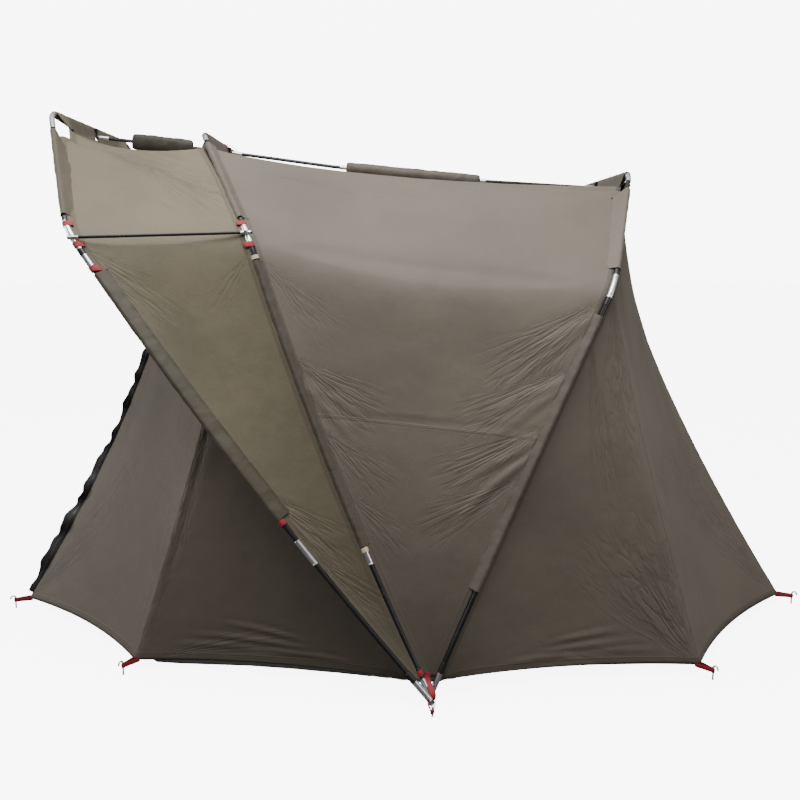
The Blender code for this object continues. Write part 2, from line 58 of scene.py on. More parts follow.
# Ribs, as the poles stand: shoulder x and z, roof corner x and z, place at the hub, bow of the legs
HUB_X = 0.061
HUB_HALF_WIDTH = 1.25
PIN_HEIGHT = 0.018
FOOT_PITCH = 0.022
SHOULDER_HALF_WIDTH = 0.95
CORNER_HALF_WIDTH = 0.49
RIBS = {
    "front": (-1.116, 1.500, -1.300, 1.925, 1, 0.030),
    "middle": (-0.528, 1.476, -0.747, 1.850, 0, 0.026),
    "rear": (0.677, 1.316, 0.828, 1.710, -1, 0.004),
}
SHOULDER_BEND = 0.07
CORNER_BEND = 0.05
POLE_RADIUS = 0.008
RIDGE_BAR_RADIUS = 0.007
# Ridge bars: the ribs they join, how far below each crossbar's centre line they meet it, and their sag
RIDGE_BARS = {"front": ("front", "middle", 0.030, 0.011, 0), "rear": ("middle", "rear", 0.016, 0.019, 0.017)}
# Where a ridge bar bends to its straight middle run, as parts of its length
RIDGE_BENDS = (0.28, 0.69)
RIDGE_HOOK_LIMIT = 0.012
DOOR_TOP_HALF_WIDTH = 0.32
DOOR_BULGE = 0.045
LEG_LOW = 0.04
LEG_HIGH = 0.955
LEG_STEPS = 8
# How far the canopy is cut back from each rib, and down, just before, at and just after its roof corner
CORNER_CUTS = {
    "front": ((0.012, 0.055), (0.050, 0.065), (0.030, 0)),
    "middle": ((0.005, 0.020), (0.012, 0.045), (0, 0)),
    "rear": ((0, 0.035), (0.020, 0.060), (0, 0)),
}
LEG_REACH = POLE_RADIUS + 0.001
WALL_REACHES = (LEG_REACH, 0.038, 0.024)
BAR_SLEEVE_REACH = 0.0456
BAR_SLEEVE_LEAN = {"front": radians(-72), "middle": radians(-70), "rear": radians(-110)}
HOOD_REAR_LEAN = radians(-125)
HOOD_REAR_REACH = 0.060
SAG_CENTRE_HEIGHT = 0.75
SAG_CENTRE_PART = 0.6
# Sag at the feet, at the roof corners and at the ridge, and how the hollow leans towards its first edge
ROOF_SAGS = (0.03, 0.028, 0.026, 0.8)
HOOD_SAGS = (0.03, 0.09, 0.10, 0.7)
# Sag at the side seam and at the middle, swell out of the door, and lean towards the rib
FRONT_WALL_SAGS = (0.045, 0.092, DOOR_BULGE, 1)
REAR_WALL_SAGS = (0.04, 0.13, 0, 0.65)
ROOF_LIFT = radians(-15)
HOOD_LIFT = radians(35)
HEM_HEIGHT = 0.035
HUB_HEM_HEIGHT = 0.050
FRONT_HEM = ((0.000, 1.185, HUB_HEM_HEIGHT), (-0.949, 0.990, HEM_HEIGHT), (-1.5299, 0.400, HEM_HEIGHT))
REAR_HEM = ((0.122, 1.185, HUB_HEM_HEIGHT), (0.988, 1.060, HEM_HEIGHT), (1.5291, 0.405, HEM_HEIGHT))
HEM_CURVE = 0.045
PEG_PULL = 0.052

# Rows of cloth, counted round a rib from the near foot to the far foot
SHOULDER_ROW = LEG_STEPS + 1
CORNER_ROW = SHOULDER_ROW + 4
DOOR_ROW = CORNER_ROW + 2
CENTRE_ROW = DOOR_ROW + 2
LAST_ROW = 2 * CENTRE_ROW
SEAM_ROW = 5
FAR_AWAY = 9.0
# How many rows the bend at the shoulder spreads over halfway between the ribs, and the rows that it can reach
MAIN_SOFTNESS = 1.7
HOOD_SOFTNESS = 0.8
SOFT_ROWS = 4

# Sleeves of each rib: start and end from the shoulder, and at both ends the reach of the wing and its slant
SLEEVES = {
    "front": {
        "leg": (-1.170, -0.178, (0.042, 0.038), (0, 0)),
        "upper": (0.062, 0.540, (0.028, 0.062), (0, 0.045)),
        "bar": (0.675, 1.120, (0.068, 0.056), (0.050, 0)),
    },
    "middle": {
        "leg": (-1.074, -0.082, (0.020, 0.020), (0, 0)),
        "upper": (0.095, 0.560, (0.022, 0.030), (0, 0)),
        "bar": (0.640, 1.095, (0.056, 0.056), (0.010, 0)),
    },
    "rear": {
        "leg": (-1.100, -0.112, (0.030, 0.026), (0, 0)),
        "upper": (0.075, 0.525, (0.036, 0.050), (0, 0.035)),
        "bar": (0.640, 1.085, (0.062, 0.056), (0.045, 0)),
    },
}
SLEEVE_SIDES = 20
SLEEVE_AIM = 0.04
# How far painted shade darkens each sleeve's cloth against the cloth beside it, one shaded copy of the cloth
# for each stretch and rib
SLEEVE_SHADES = {
    ("leg", "front"): 0.50, ("leg", "middle"): 0.50, ("leg", "rear"): 0.60,
    ("upper", "front"): 0.58, ("upper", "middle"): 0.75, ("upper", "rear"): 1.00,
    ("bar", "front"): 0.85, ("bar", "middle"): 0.75, ("bar", "rear"): 0.85,
}
# Bright and dark collars of each rib: start and end from the shoulder, and radius
BRIGHT_RUNS = {
    "front": ((-0.078, 0.012, 0.0105), (-0.146, -0.106, 0.0105), (-1.350, -1.258, 0.0102)),
    "middle": ((-0.022, 0.046, 0.0108), (-1.132, -1.092, 0.0102)),
    "rear": ((-0.042, 0.042, 0.0105),),
}
DARK_RUNS = {
    "front": ((-0.104, -0.080, 0.0112), (0.014, 0.050, 0.0096)),
    "middle": ((-0.066, -0.024, 0.0098), (0.066, 0.090, 0.0098)),
    "rear": ((0.044, 0.072, 0.0098), (-0.070, -0.044, 0.0098)),
}
# From the shoulder: roof elbows, rivets, and the middle leg's pale knob and ring; from the hub: the feet
CORNER_ELBOW = {"front": (0.552, 0.690), "middle": (0.580, 0.685), "rear": (0.572, 0.677)}
FOOT_LENGTHS = {"front": 0.080, "middle": 0.067, "rear": 0.074}
ELBOW_BOLTS = (-0.030, 0.030)
PALE_KNOB = (-0.078, -0.066)
PALE_RING = (-1.090, -1.076)
# Webbing rings: place from the shoulder, and how far across the cloth each tab reaches
RED_RINGS = {
    "front": ((-1.180, 0.020), (-0.158, 0.040), (-0.062, 0.034), (0.020, 0.020)),
    "middle": ((0.058, 0.020), (-0.028, 0.030), (-1.512, 0.100)),
}
# Ferrules of the side bars and the ridge bars, and the side bars' thumb screw
FERRULE_INSET = 0.004
FERRULE_LENGTH = 0.032
SIDE_FERRULE_RADIUS = 0.0068
RIDGE_FERRULE_RADIUS = 0.0084
SCREW_RADIUS = 0.0085
SCREW_HEIGHT = 0.012
SCREW_DEPTH = 0.006
# The ridge bars' ferrules: start and end from the bar's front end
BAR_FERRULES = {"front": ((0.012, 0.052), (0.478, 0.512)),
                "rear": ((0.012, 0.052), (0.466, 0.496), (1.054, 1.082), (1.500, 1.542))}
# Collars on the ribs: what their end beads stand proud and measure, and the radii of the other collars
BEAD_HEIGHT = 0.0009
BEAD_HALF = 0.002
CORNER_RADIUS = 0.0100
FOOT_START = 0.004
FOOT_RADIUS = 0.0102
BOOT_GAP = 0.002
BOOT_END = 0.036
BOOT_RADIUS = 0.0108
CLAMP_HALF = 0.019
CLAMP_RADIUS = 0.0118
KNOB_RADIUS = 0.0128
PALE_RING_RADIUS = 0.0122
BOLT_REACH = 0.0095
BOLT_RADIUS = 0.0042
BOLT_HEIGHT = 0.0026
# Webbing rings, with their tabs' widths, start on the cloth and heights over the rib and the cloth
RING_HALF = 0.008
RING_RADIUS = 0.0126
RING_GIRTH = 0.08
TAB_WIDTHS = (0.020, 0.014)
TAB_START = 0.02
TAB_LIFTS = (0.0125, 0.008, 0.003)
# Straps: their routes from the hem and from the hub pin, and round the middle of a crossbar
STRAP_WIDTH = 0.018
STRAP_GIRTH = 0.04
STRAP_HEM_PART = 0.3
STRAP_FROM_HEM = ((0, -0.004, 0.02), (0, -0.010, -0.004))
STRAP_FROM_HUB = ((0.006, -0.016, 0.022), (0.004, -0.018, 0.004))
TIE_RING = ((0, -0.052, 0), (0, -0.042, 0), (0, -0.032, 0))
TIE_RING_RADIUS = 0.0150
TIE_ROUTE = ((0.012, -0.042, 0.012), (0.034, -0.043, 0.006), (0.052, -0.044, -0.014))
# Peg loops: their webbing's width, and how far in from the anchor they are sewn on
LOOP_WIDTH = 0.015
LOOP_SEWN = 0.012
# Small soft folds of the sleeves and of the ridge sleeves: scale and depth, and how deep their ends are open
SLEEVE_FOLDS = (24.0, 0.0016)
SLEEVE_OPEN = 0.008
RIDGE_SLEEVE_FOLDS = (30.0, 0.0022)
RIDGE_SLEEVE_OPEN = 0.012
# Smoothing angles in degrees of hard pieces and of sewn ones
HARD_ANGLE = 40
SEWN_ANGLE = 50
# Sleeves round the ridge bars: start along the middle run, length, half width, half height
RIDGE_SLEEVES = {"front": (0.010, 0.233, 0.016, 0.036), "rear": (0.066, 0.545, 0.022, 0.0270)}
RIDGE_SLEEVE_PINCH = 0.04
RIDGE_SLEEVE_TONE = 0.7
PEG_HEIGHT = 0.034
WIRE_FOOT = 0.001
WIRE_BEND = 0.009
WIRE_GRIP = 0.0056
FLOOR_LEVEL = 0.0030
# The door's wavy edge: half its width at the top, what it gains below, its run, and how its waves repeat
DOOR_EDGE = 0.011
DOOR_EDGE_GAIN = 0.009
DOOR_EDGE_RUN = (0.012, 0.985)
DOOR_EDGE_STEPS = 260
DOOR_EDGE_WAVES = (16, 41, 23)
DOOR_EDGE_GIRTH = 0.06
FLOOR_TURN_UP = 0.045
# The groundsheet's outline against the hems': its length, and its width at the front and at the rear
FLOOR_LENGTH = 0.985
FLOOR_WIDTHS = (0.958, 0.930)

# Fine creases that burst from an anchor towards a target, each a row and a part: half angle, strength
MAIN_BURSTS = (
    ((8.2, 1.0), (6.0, 0.76), 0.34, 1.0),
    ((6.6, 1.0), (5.1, 0.66), 0.26, 0.9),
    ((5.3, 1.0), (3.9, 0.58), 0.30, 1.0),
    ((4.2, 1.0), (2.9, 0.50), 0.28, 0.9),
    ((6.1, 0.0), (4.9, 0.26), 0.42, 0.9),
    ((4.8, 0.0), (3.6, 0.24), 0.40, 0.7),
    ((3.6, 0.0), (2.4, 0.30), 0.36, 0.6),
    ((11.5, 0.1), (11.3, 0.8), 0.10, 0.35),
    ((8.0, 0.0), (6.6, 0.16), 0.30, 0.4),
)
HOOD_BURSTS = (
    ((12.9, 0.20), (10.6, 1.0), 0.16, 0.8),
    ((11.9, 0.45), (10.2, 0.98), 0.16, 0.7),
    ((3.6, 0.0), (2.2, 0.60), 0.34, 0.7),
    ((2.4, 0.0), (1.2, 0.7), 0.30, 0.7),
    ((8.3, 1.0), (7.0, 0.6), 0.30, 0.5),
    ((8.2, 0.0), (6.8, 0.3), 0.30, 0.4),
)
FRONT_BURSTS = (
    ((9.4, 0.0), (9.15, 0.98), 0.045, 1.0),
    ((9.0, 1.0), (10.6, 0.45), 0.16, 0.6),
    ((8.6, 1.0), (4.0, 0.86), 0.12, 0.6),
    ((12.6, 0.05), (12.2, 0.8), 0.07, 0.5),
    ((15.0, 1.0), (13.0, 0.6), 0.20, 0.5),
    ((10.6, 0.0), (10.4, 0.7), 0.10, 0.5),
)
REAR_BURSTS = (
    ((9.0, 1.0), (7.0, 0.55), 0.30, 0.8),
    ((9.0, 0.0), (8.4, 0.45), 0.20, 0.8),
    ((15.0, 1.0), (12.4, 0.55), 0.30, 0.8),
    ((8.8, 1.0), (3.0, 0.86), 0.10, 0.6),
    ((7.2, 0.0), (6.9, 0.6), 0.12, 0.5),
    ((10.6, 0.0), (10.2, 0.8), 0.10, 0.5),
)
# Modelled folds, from row and part to row and part: the main cloth's seam, the hood's long creases,
# the pleats beside the shoulder seam of the front wall, and the ones above the walls' hems
SEAM_LINE = (((SEAM_ROW, 0.0), (SEAM_ROW + 0.2, 1.0)),)
HOOD_CREASES = (
    ((12.6, 0.38), (11.1, 0.93)), ((12.3, 0.42), (10.9, 0.90)), ((12.0, 0.36), (11.3, 0.62)),
    ((11.6, 0.60), (10.4, 0.92)), ((11.0, 0.66), (10.3, 0.90)), ((12.45, 0.55), (11.5, 0.95)),
    ((10.6, 0.55), (10.2, 0.72)), ((12.7, 0.55), (12.1, 0.90)),
)
PANEL_CREASES = tuple(((SHOULDER_ROW + offset, 0.02), (SHOULDER_ROW + offset * 0.4, 0.97))
                      for offset in (-0.12, 0.12, 0.34, 0.62, 0.95))
HEM_CREASES = (
    ((7.6, 0.93), (3.0, 0.90)), ((6.6, 0.88), (3.6, 0.86)),
    ((7.9, 0.96), (5.2, 0.94)), ((5.0, 0.95), (2.0, 0.92)),
)
# Width and depth of those folds
SEAM_FOLD = (0.012, -0.003)
HOOD_FOLD = (0.012, 0.0035)
PLEAT_FOLD = (0.014, 0.0065)
FRONT_HEM_FOLD = (0.013, 0.003)
REAR_HEM_FOLD = (0.014, 0.003)
# Fans of folds: anchor and target as row and part, spread, how many, width, depth and seed
MAIN_FANS = (
    ((7.6, 1.0), (6.2, 0.80), (0.4, 0.02), 4, 0.015, 0.005, 10),
    ((6.2, 1.0), (4.9, 0.72), (0.5, 0.03), 5, 0.015, 0.005, 11),
    ((4.9, 1.0), (3.6, 0.66), (0.8, 0.04), 7, 0.014, 0.006, 12),
    ((5.6, 0.0), (4.9, 0.16), (0.3, 0.02), 4, 0.014, 0.005, 13),
)
HOOD_FANS = (((3.2, 0.0), (2.5, 0.35), (0.4, 0.02), 4, 0.012, 0.003, 62),)
FRONT_FANS = (((DOOR_ROW - 0.5, 0.05), (12.0, 0.45), (0.9, 0.02), 5, 0.014, 0.004, 21),)
REAR_FANS = (
    ((SHOULDER_ROW, 0.02), (8.4, 0.35), (0.6, 0.02), 4, 0.014, 0.004, 31),
    ((SHOULDER_ROW, 1.0), (7.2, 0.66), (1.1, 0.03), 5, 0.014, 0.004, 32),
)
# What the far side adds to the seeds of the near side's folds
MAIN_FAR_SEED = 30
HOOD_FAR_SEED = 20
# Short folds along the rows of the main cloth: rows, parts, length, how many, width and depth
MAIN_STREAKS = ((10.8, 12.3), (0.15, 0.75), 0.09, 12, 0.012, 0.0020)
MAIN_STREAK_SEED = 15
# End walls: how much lighter or darker their cloth is than the canopy's, which is painted light and shade,
# and how much painted shade darkens it towards the ground
WALL_LIGHT_AND_SHADE = {"front": (0.94, 0.34), "rear": (1.10, 0.26)}
# Finer cells than usual for the creased cloths, and coarser ones for the plain cloths
CREASED_CELL = 0.013
REAR_CELL = 0.018
FLOOR_CELL = 0.03
# Cloth that the seams take up
SEAM_SPARE = 1.02
# Patterns in the cloth: scales of its clouds, crinkles, grain, weave and creases
CLOUD_SCALE = 2.2
CRINKLE_SCALE = 34.0
GRAIN_SCALE = 900.0
WEAVE_SCALE = 260.0
CREASE_SCALE = 46.0
CREASE_HEIGHT_SCALE = 9.0
NET_SCALE = 3400.0
TOOTH_SCALE = 2100.0
STITCH_SCALE = 1400.0

# Camera of the photograph
CAMERA_PLACE = (-0.082, -4.041, 1.431)
CAMERA_YAW = radians(0.909)
CAMERA_TILT = radians(9.133)
CAMERA_LENS = 42.0

# Studio: what the floor returns, the whites that the eye sees, the light of the sky and the lamps
FLOOR_BOUNCE = (0.06, 0.055, 0.05)
FLOOR_WHITE = 7.0
BACKDROP_WHITE = 8.0
ZENITH_LIGHT = 0.95
HORIZON_LIGHT = 0.02
LAMPS = (
    ("overhead", (-0.4, -1.7, 4.2), (radians(22), radians(-4), 0), 2.8, 185),
    ("front_fill", (-5.2, -0.9, 2.4), (radians(72), 0, radians(-84)), 2.0, 118),
    ("rear_fill", (4.4, -3.2, 1.7), (radians(80), 0, radians(54)), 2.0, 42),
)


class TentSizes(bpy.types.PropertyGroup):
    """Sizes of the cloth and its fittings."""

    cloth: FloatProperty(name="Cloth", description="Thickness of the cloth", default=0.0008, unit="LENGTH")
    cell: FloatProperty(name="Cell", description="Width of one cell of the cloth's grid", default=0.015,
                        unit="LENGTH")
    folds: FloatProperty(name="Folds", description="Depth of the folds against the usual", default=1.0)
    sleeve: FloatProperty(name="Sleeve", description="Radius of the sleeves round the poles", default=0.0125,
                          unit="LENGTH")
    wire: FloatProperty(name="Wire", description="Radius of the pegs' wire", default=0.0032, unit="LENGTH")


class TentColours(bpy.types.PropertyGroup):
    """Colours of the tent and of the stage."""

    canopy: FloatVectorProperty(name="Canopy", description="Main cloth", subtype="COLOR",
                                default=(0.120, 0.100, 0.077))
    hood: FloatVectorProperty(name="Hood", description="Cloth of the hood", subtype="COLOR",
                              default=(0.118, 0.101, 0.064))
    pocket: FloatVectorProperty(name="Pocket", description="Dark cloth of the front ridge pocket",
                                subtype="COLOR", default=(0.030, 0.026, 0.018))
    mesh: FloatVectorProperty(name="Mesh", description="Insect mesh and zips", subtype="COLOR",
                              default=(0.010, 0.010, 0.010))
    floor: FloatVectorProperty(name="Groundsheet", description="Groundsheet", subtype="COLOR",
                               default=(0.48, 0.49, 0.47))
    red: FloatVectorProperty(name="Red", description="Webbing and rings", subtype="COLOR",
                             default=(0.36, 0.016, 0.030))
    steel: FloatVectorProperty(name="Steel", description="Bright fittings", subtype="COLOR",
                               default=(0.74, 0.75, 0.77))
    pole: FloatVectorProperty(name="Poles", description="Coated poles", subtype="COLOR",
                              default=(0.014, 0.014, 0.016))
    stage: FloatVectorProperty(name="Stage", description="Studio floor", subtype="COLOR",
                               default=(0.90, 0.90, 0.90))


def sizes():
    """The sizes in use."""
    return bpy.context.scene.tent_sizes


def colours():
    """The colours in use."""
    return bpy.context.scene.tent_colours


class Graph:
    """A node tree with short calls for adding and joining its nodes."""

    def __init__(self, tree):
        self.tree = tree

    def add(self, kind, **values):
        """A node with its settings; values that name an input are set or linked there."""
        node = self.tree.nodes.new(kind)
        for key, value in values.items():
            name = key.replace("_", " ")
            if name in node.inputs:
                self.join(value, node.inputs[name])
            else:
                setattr(node, key, value)
        return node

    def join(self, value, socket):
        """Link an output to a socket, or set the socket's value."""
        if isinstance(value, bpy.types.NodeSocket):
            self.tree.links.new(value, socket)
        else:
            socket.default_value = value

    def math(self, operation, first, second=0.0, third=0.0):
        """One sum on numbers or outputs."""
        node = self.tree.nodes.new("ShaderNodeMath")
        node.operation = operation
        for socket, value in zip(node.inputs, (first, second, third)):
            self.join(value, socket)
        return node.outputs[0]

    def mix(self, factor, first, second, blend="MIX"):
        """A mix of two colours."""
        node = self.tree.nodes.new("ShaderNodeMix")
        node.data_type = "RGBA"
        node.blend_type = blend
        self.join(factor, node.inputs["Factor"])
        self.join(first, node.inputs[6])
        self.join(second, node.inputs[7])
        return node.outputs[2]

    def band(self, value, low, high, soft):
        """One between two limits of a value, zero outside, with soft edges."""
        rise = self.ramp(value, low - soft, low + soft)
        fall = self.ramp(value, high - soft, high + soft)
        return self.math("SUBTRACT", rise, fall)

    def ramp(self, value, low, high):
        """Zero below a limit and one above another, smooth between."""
        node = self.tree.nodes.new("ShaderNodeMapRange")
        node.interpolation_type = "SMOOTHSTEP"
        for name, given in (("Value", value), ("From Min", low), ("From Max", high)):
            self.join(given, node.inputs[name])
        return node.outputs[0]

    def noise(self, vector, scale, detail=3.0, roughness=0.5):
        """A noise pattern's value on given coordinates."""
        return self.add("ShaderNodeTexNoise", Vector=vector, Scale=scale, Detail=detail,
                        Roughness=roughness).outputs["Fac"]

    def attribute(self, name):
        """A number kept on the piece's own points."""
        return self.add("ShaderNodeAttribute", attribute_name=name).outputs["Fac"]


def once(kind, name):
    """Have a function build a node group or a material only where the file has none of that name."""
    def wrap(build):
        @wraps(build)
        def find():
            return getattr(bpy.data, kind).get(name) or build(name)
        return find
    return wrap


def new_group(name, inputs, outputs):
    """An empty node group with its sockets, and its graph, input node and output node."""
    tree = bpy.data.node_groups.new(name, "ShaderNodeTree")
    for way, sockets in (("INPUT", inputs), ("OUTPUT", outputs)):
        for label, kind in sockets:
            tree.interface.new_socket(name=label, in_out=way, socket_type=kind)
    graph = Graph(tree)
    return tree, graph, graph.add("NodeGroupInput"), graph.add("NodeGroupOutput")


@once("node_groups", "coated weave")
def cloth_group(name):
    """Coated woven cloth: cloudy tone, fine crinkles and a weave that follows the cut, with painted shade in
    the valleys of the fine creases and towards the ground.
    """
    tree, graph, given, made = new_group(
        name,
        [("Colour", "NodeSocketColor"), ("Pale", "NodeSocketColor"), ("Crease", "NodeSocketFloat"),
         ("Creased", "NodeSocketFloat"), ("Soiled", "NodeSocketFloat")],
        [("Colour", "NodeSocketColor"), ("Roughness", "NodeSocketFloat"), ("Height", "NodeSocketFloat")])
    place = graph.add("ShaderNodeTexCoord").outputs["Object"]
    height = graph.add("ShaderNodeSeparateXYZ", Vector=place).outputs["Z"]
    sideways = graph.math("MULTIPLY", given.outputs["Crease"], CREASE_SCALE)
    upward = graph.math("MULTIPLY", height, CREASE_HEIGHT_SCALE)
    across = graph.add("ShaderNodeCombineXYZ", X=sideways, Y=upward).outputs["Vector"]
    line = graph.math("ABSOLUTE", graph.math("MULTIPLY_ADD", graph.noise(across, 1.0, 2.0), 2.0, -1.0))
    valley = graph.math("MULTIPLY", graph.math("SUBTRACT", 1.0, graph.ramp(line, 0.0, 0.22)),
                        given.outputs["Creased"])
    cut = graph.add("ShaderNodeUVMap", uv_map="cut").outputs["UV"]
    cloud = graph.noise(place, CLOUD_SCALE, 3.0)
    crinkle = graph.noise(place, CRINKLE_SCALE, 5.0, 0.62)
    grain = graph.noise(cut, GRAIN_SCALE, 2.0)
    threads = [graph.add("ShaderNodeTexWave", Vector=cut, Scale=WEAVE_SCALE, bands_direction=way)
               for way in ("X", "Y")]
    weave = graph.math("MAXIMUM", *(thread.outputs["Fac"] for thread in threads))
    tone = graph.ramp(graph.math("MULTIPLY_ADD", crinkle, 0.25, cloud), 0.42, 0.86)
    colour = graph.mix(tone, given.outputs["Colour"], given.outputs["Pale"])
    # Painted shade: the colour darkens in the valleys of the fine creases.
    colour = graph.mix(graph.math("MULTIPLY", valley, 0.28), colour, (0.015, 0.013, 0.010, 1))
    # Painted shade: the colour darkens towards the ground, more the lower the cloth.
    low = graph.math("SUBTRACT", 1.0, graph.ramp(height, -0.1, 1.05))
    colour = graph.mix(graph.math("MULTIPLY", low, given.outputs["Soiled"]), colour, (0.014, 0.012, 0.008, 1))
    colour = graph.mix(graph.math("MULTIPLY", grain, 0.10), colour, (0.02, 0.02, 0.02, 1))
    graph.join(colour, made.inputs["Colour"])
    rough = graph.math("MULTIPLY_ADD", crinkle, 0.16, 0.46)
    graph.join(graph.math("MULTIPLY_ADD", weave, 0.05, rough), made.inputs["Roughness"])
    fine = graph.math("MULTIPLY_ADD", weave, 0.04, graph.math("MULTIPLY", valley, -3.0))
    graph.join(graph.math("MULTIPLY_ADD", crinkle, 0.9, fine), made.inputs["Height"])
    return tree


@once("node_groups", "sewn hem")
def hem_group(name):
    """A hem along an edge: where the cloth is doubled, its stitches and its raised edge."""
    tree, graph, given, made = new_group(
        name,
        [("Distance", "NodeSocketFloat"), ("Width", "NodeSocketFloat"), ("Run", "NodeSocketFloat")],
        [("Doubled", "NodeSocketFloat"), ("Stitch", "NodeSocketFloat"), ("Height", "NodeSocketFloat")])
    past = graph.math("SUBTRACT", given.outputs["Distance"], given.outputs["Width"])
    inside = graph.math("SUBTRACT", 1.0, graph.ramp(past, -0.0015, 0.0015))
    from_line = graph.math("ABSOLUTE", graph.math("ADD", past, 0.005))
    line = graph.math("SUBTRACT", 1.0, graph.ramp(from_line, 0.0004, 0.0014))
    stitches = graph.math("MULTIPLY", given.outputs["Run"], STITCH_SCALE)
    dash = graph.ramp(graph.math("SINE", stitches), -0.5, 0.1)
    stitch = graph.math("MULTIPLY", line, dash)
    graph.join(inside, made.inputs["Doubled"])
    graph.join(stitch, made.inputs["Stitch"])
    raised = graph.math("MULTIPLY", inside, 0.6)
    graph.join(graph.math("MULTIPLY_ADD", line, -0.5, raised), made.inputs["Height"])
    return tree


@once("node_groups", "handled metal")
def wear_group(name):
    """Scratches and dust for coated or bright metal."""
    tree, graph, given, made = new_group(
        name,
        [("Colour", "NodeSocketColor"), ("Worn", "NodeSocketColor")],
        [("Colour", "NodeSocketColor"), ("Roughness", "NodeSocketFloat"), ("Height", "NodeSocketFloat")])
    place = graph.add("ShaderNodeTexCoord").outputs["Object"]
    long_way = graph.add("ShaderNodeMapping", Vector=place, Scale=(420.0, 420.0, 30.0)).outputs["Vector"]
    scratch = graph.noise(long_way, 1.0, 4.0, 0.7)
    smudge = graph.noise(place, 26.0, 3.0)
    worn = graph.ramp(graph.math("MULTIPLY_ADD", smudge, 0.35, scratch), 0.78, 0.95)
    graph.join(graph.mix(worn, given.outputs["Colour"], given.outputs["Worn"]), made.inputs["Colour"])
    graph.join(graph.math("MULTIPLY_ADD", smudge, 0.22, 0.20), made.inputs["Roughness"])
    graph.join(scratch, made.inputs["Height"])
    return tree


def placed_group(graph, tree, **values):
    """A node group placed in a material's graph with its own values."""
    node = graph.add("ShaderNodeGroup", node_tree=tree)
    for name, value in values.items():
        graph.join(value, node.inputs[name.replace("_", " ")])
    return node


def new_material(name, metallic=0.0):
    """A material with its graph and Principled shader."""
    made = bpy.data.materials.new(name)
    made.use_nodes = True
    shader = made.node_tree.nodes["Principled BSDF"]
    shader.inputs["Metallic"].default_value = metallic
    return made, Graph(made.node_tree), shader


def scaled(colour, factor):
    """A colour made lighter or darker."""
    return tuple(factor * value for value in colour)


def opaque(colour):
    """A colour with full alpha."""
    return (*colour, 1.0)


def add_bump(graph, shader, height, strength, distance):
    """Feed a height to the shader's normal."""
    bump = graph.add("ShaderNodeBump", Height=height, Strength=strength, Distance=distance)
    graph.join(bump.outputs["Normal"], shader.inputs["Normal"])


def cloth_material(name, colour, pale, hems=(), sheen=0.06, ground_shade=0.0):
    """Coated cloth; hems names each edge with its width and how far painted shade darkens its doubled cloth
    there; the last value is how far painted shade darkens it towards the ground.
    """
    known = bpy.data.materials.get(name)
    if known:
        return known
    made, graph, shader = new_material(name)
    cloth = placed_group(graph, cloth_group(), Colour=opaque(colour), Pale=opaque(pale), Soiled=ground_shade,
                         Crease=graph.attribute("crease"), Creased=graph.attribute("creased"))
    height = cloth.outputs["Height"]
    shade = cloth.outputs["Colour"]
    # Painted shade: doubled cloth is darkened, for the light that two layers let through less and for the
    # shade where a hem turns from the light.
    doubled = scaled(colour, 0.62)
    run = graph.attribute("run")
    for edge, width, strength in hems:
        hem = placed_group(graph, hem_group(), Distance=graph.attribute(edge), Width=width, Run=run)
        shade = graph.mix(graph.math("MULTIPLY", hem.outputs["Doubled"], strength), shade, opaque(doubled))
        shade = graph.mix(graph.math("MULTIPLY", hem.outputs["Stitch"], 0.6), shade, (0.02, 0.018, 0.015, 1))
        height = graph.math("ADD", height, hem.outputs["Height"])
    graph.join(shade, shader.inputs["Base Color"])
    graph.join(cloth.outputs["Roughness"], shader.inputs["Roughness"])
    shader.inputs["Sheen Weight"].default_value = sheen
    shader.inputs["Sheen Roughness"].default_value = 0.45
    shader.inputs["Specular IOR Level"].default_value = 0.35
    add_bump(graph, shader, height, 0.35, 0.003)
    return made


def metal_material(name, colour, worn, metallic):
    """Bright or coated metal, or moulded plastic, with light wear."""
    known = bpy.data.materials.get(name)
    if known:
        return known
    made, graph, shader = new_material(name, metallic)
    metal = placed_group(graph, wear_group(), Colour=opaque(colour), Worn=opaque(worn))
    graph.join(metal.outputs["Colour"], shader.inputs["Base Color"])
    graph.join(metal.outputs["Roughness"], shader.inputs["Roughness"])
    add_bump(graph, shader, metal.outputs["Height"], 0.08, 0.0004)
    return made


@once("materials", "red webbing")
def webbing_material(name):
    """Red webbing with ribs across it."""
    made, graph, shader = new_material(name)
    cut = graph.add("ShaderNodeTexCoord").outputs["Object"]
    ribs = graph.add("ShaderNodeTexWave", Vector=cut, Scale=160.0, bands_direction="DIAGONAL").outputs["Fac"]
    fuzz = graph.noise(cut, 380.0, 3.0)
    dark = opaque(scaled(colours().red, 0.45))
    shade = graph.mix(graph.math("MULTIPLY", fuzz, 0.7), opaque(colours().red), dark)
    graph.join(shade, shader.inputs["Base Color"])
    graph.join(graph.math("MULTIPLY_ADD", fuzz, 0.2, 0.5), shader.inputs["Roughness"])
    add_bump(graph, shader, graph.math("MULTIPLY_ADD", ribs, 0.6, fuzz), 0.5, 0.0008)
    return made


@once("materials", "insect mesh")
def mesh_material(name):
    """Black insect mesh: a fine net with open holes."""
    made, graph, shader = new_material(name)
    cut = graph.add("ShaderNodeUVMap", uv_map="cut").outputs["UV"]
    split = graph.add("ShaderNodeSeparateXYZ", Vector=cut)
    holes = []
    for way in ("X", "Y"):
        wave = graph.math("SINE", graph.math("MULTIPLY", split.outputs[way], NET_SCALE))
        holes.append(graph.ramp(wave, -0.2, 0.25))
    hole = graph.math("MULTIPLY", *holes)
    graph.join(graph.math("SUBTRACT", 1.0, graph.math("MULTIPLY", hole, 0.75)), shader.inputs["Alpha"])
    fuzz = graph.noise(cut, 60.0, 2.0)
    shade = graph.mix(fuzz, opaque(colours().mesh), (0.022, 0.022, 0.022, 1))
    graph.join(shade, shader.inputs["Base Color"])
    graph.join(graph.math("MULTIPLY_ADD", fuzz, 0.2, 0.6), shader.inputs["Roughness"])
    return made


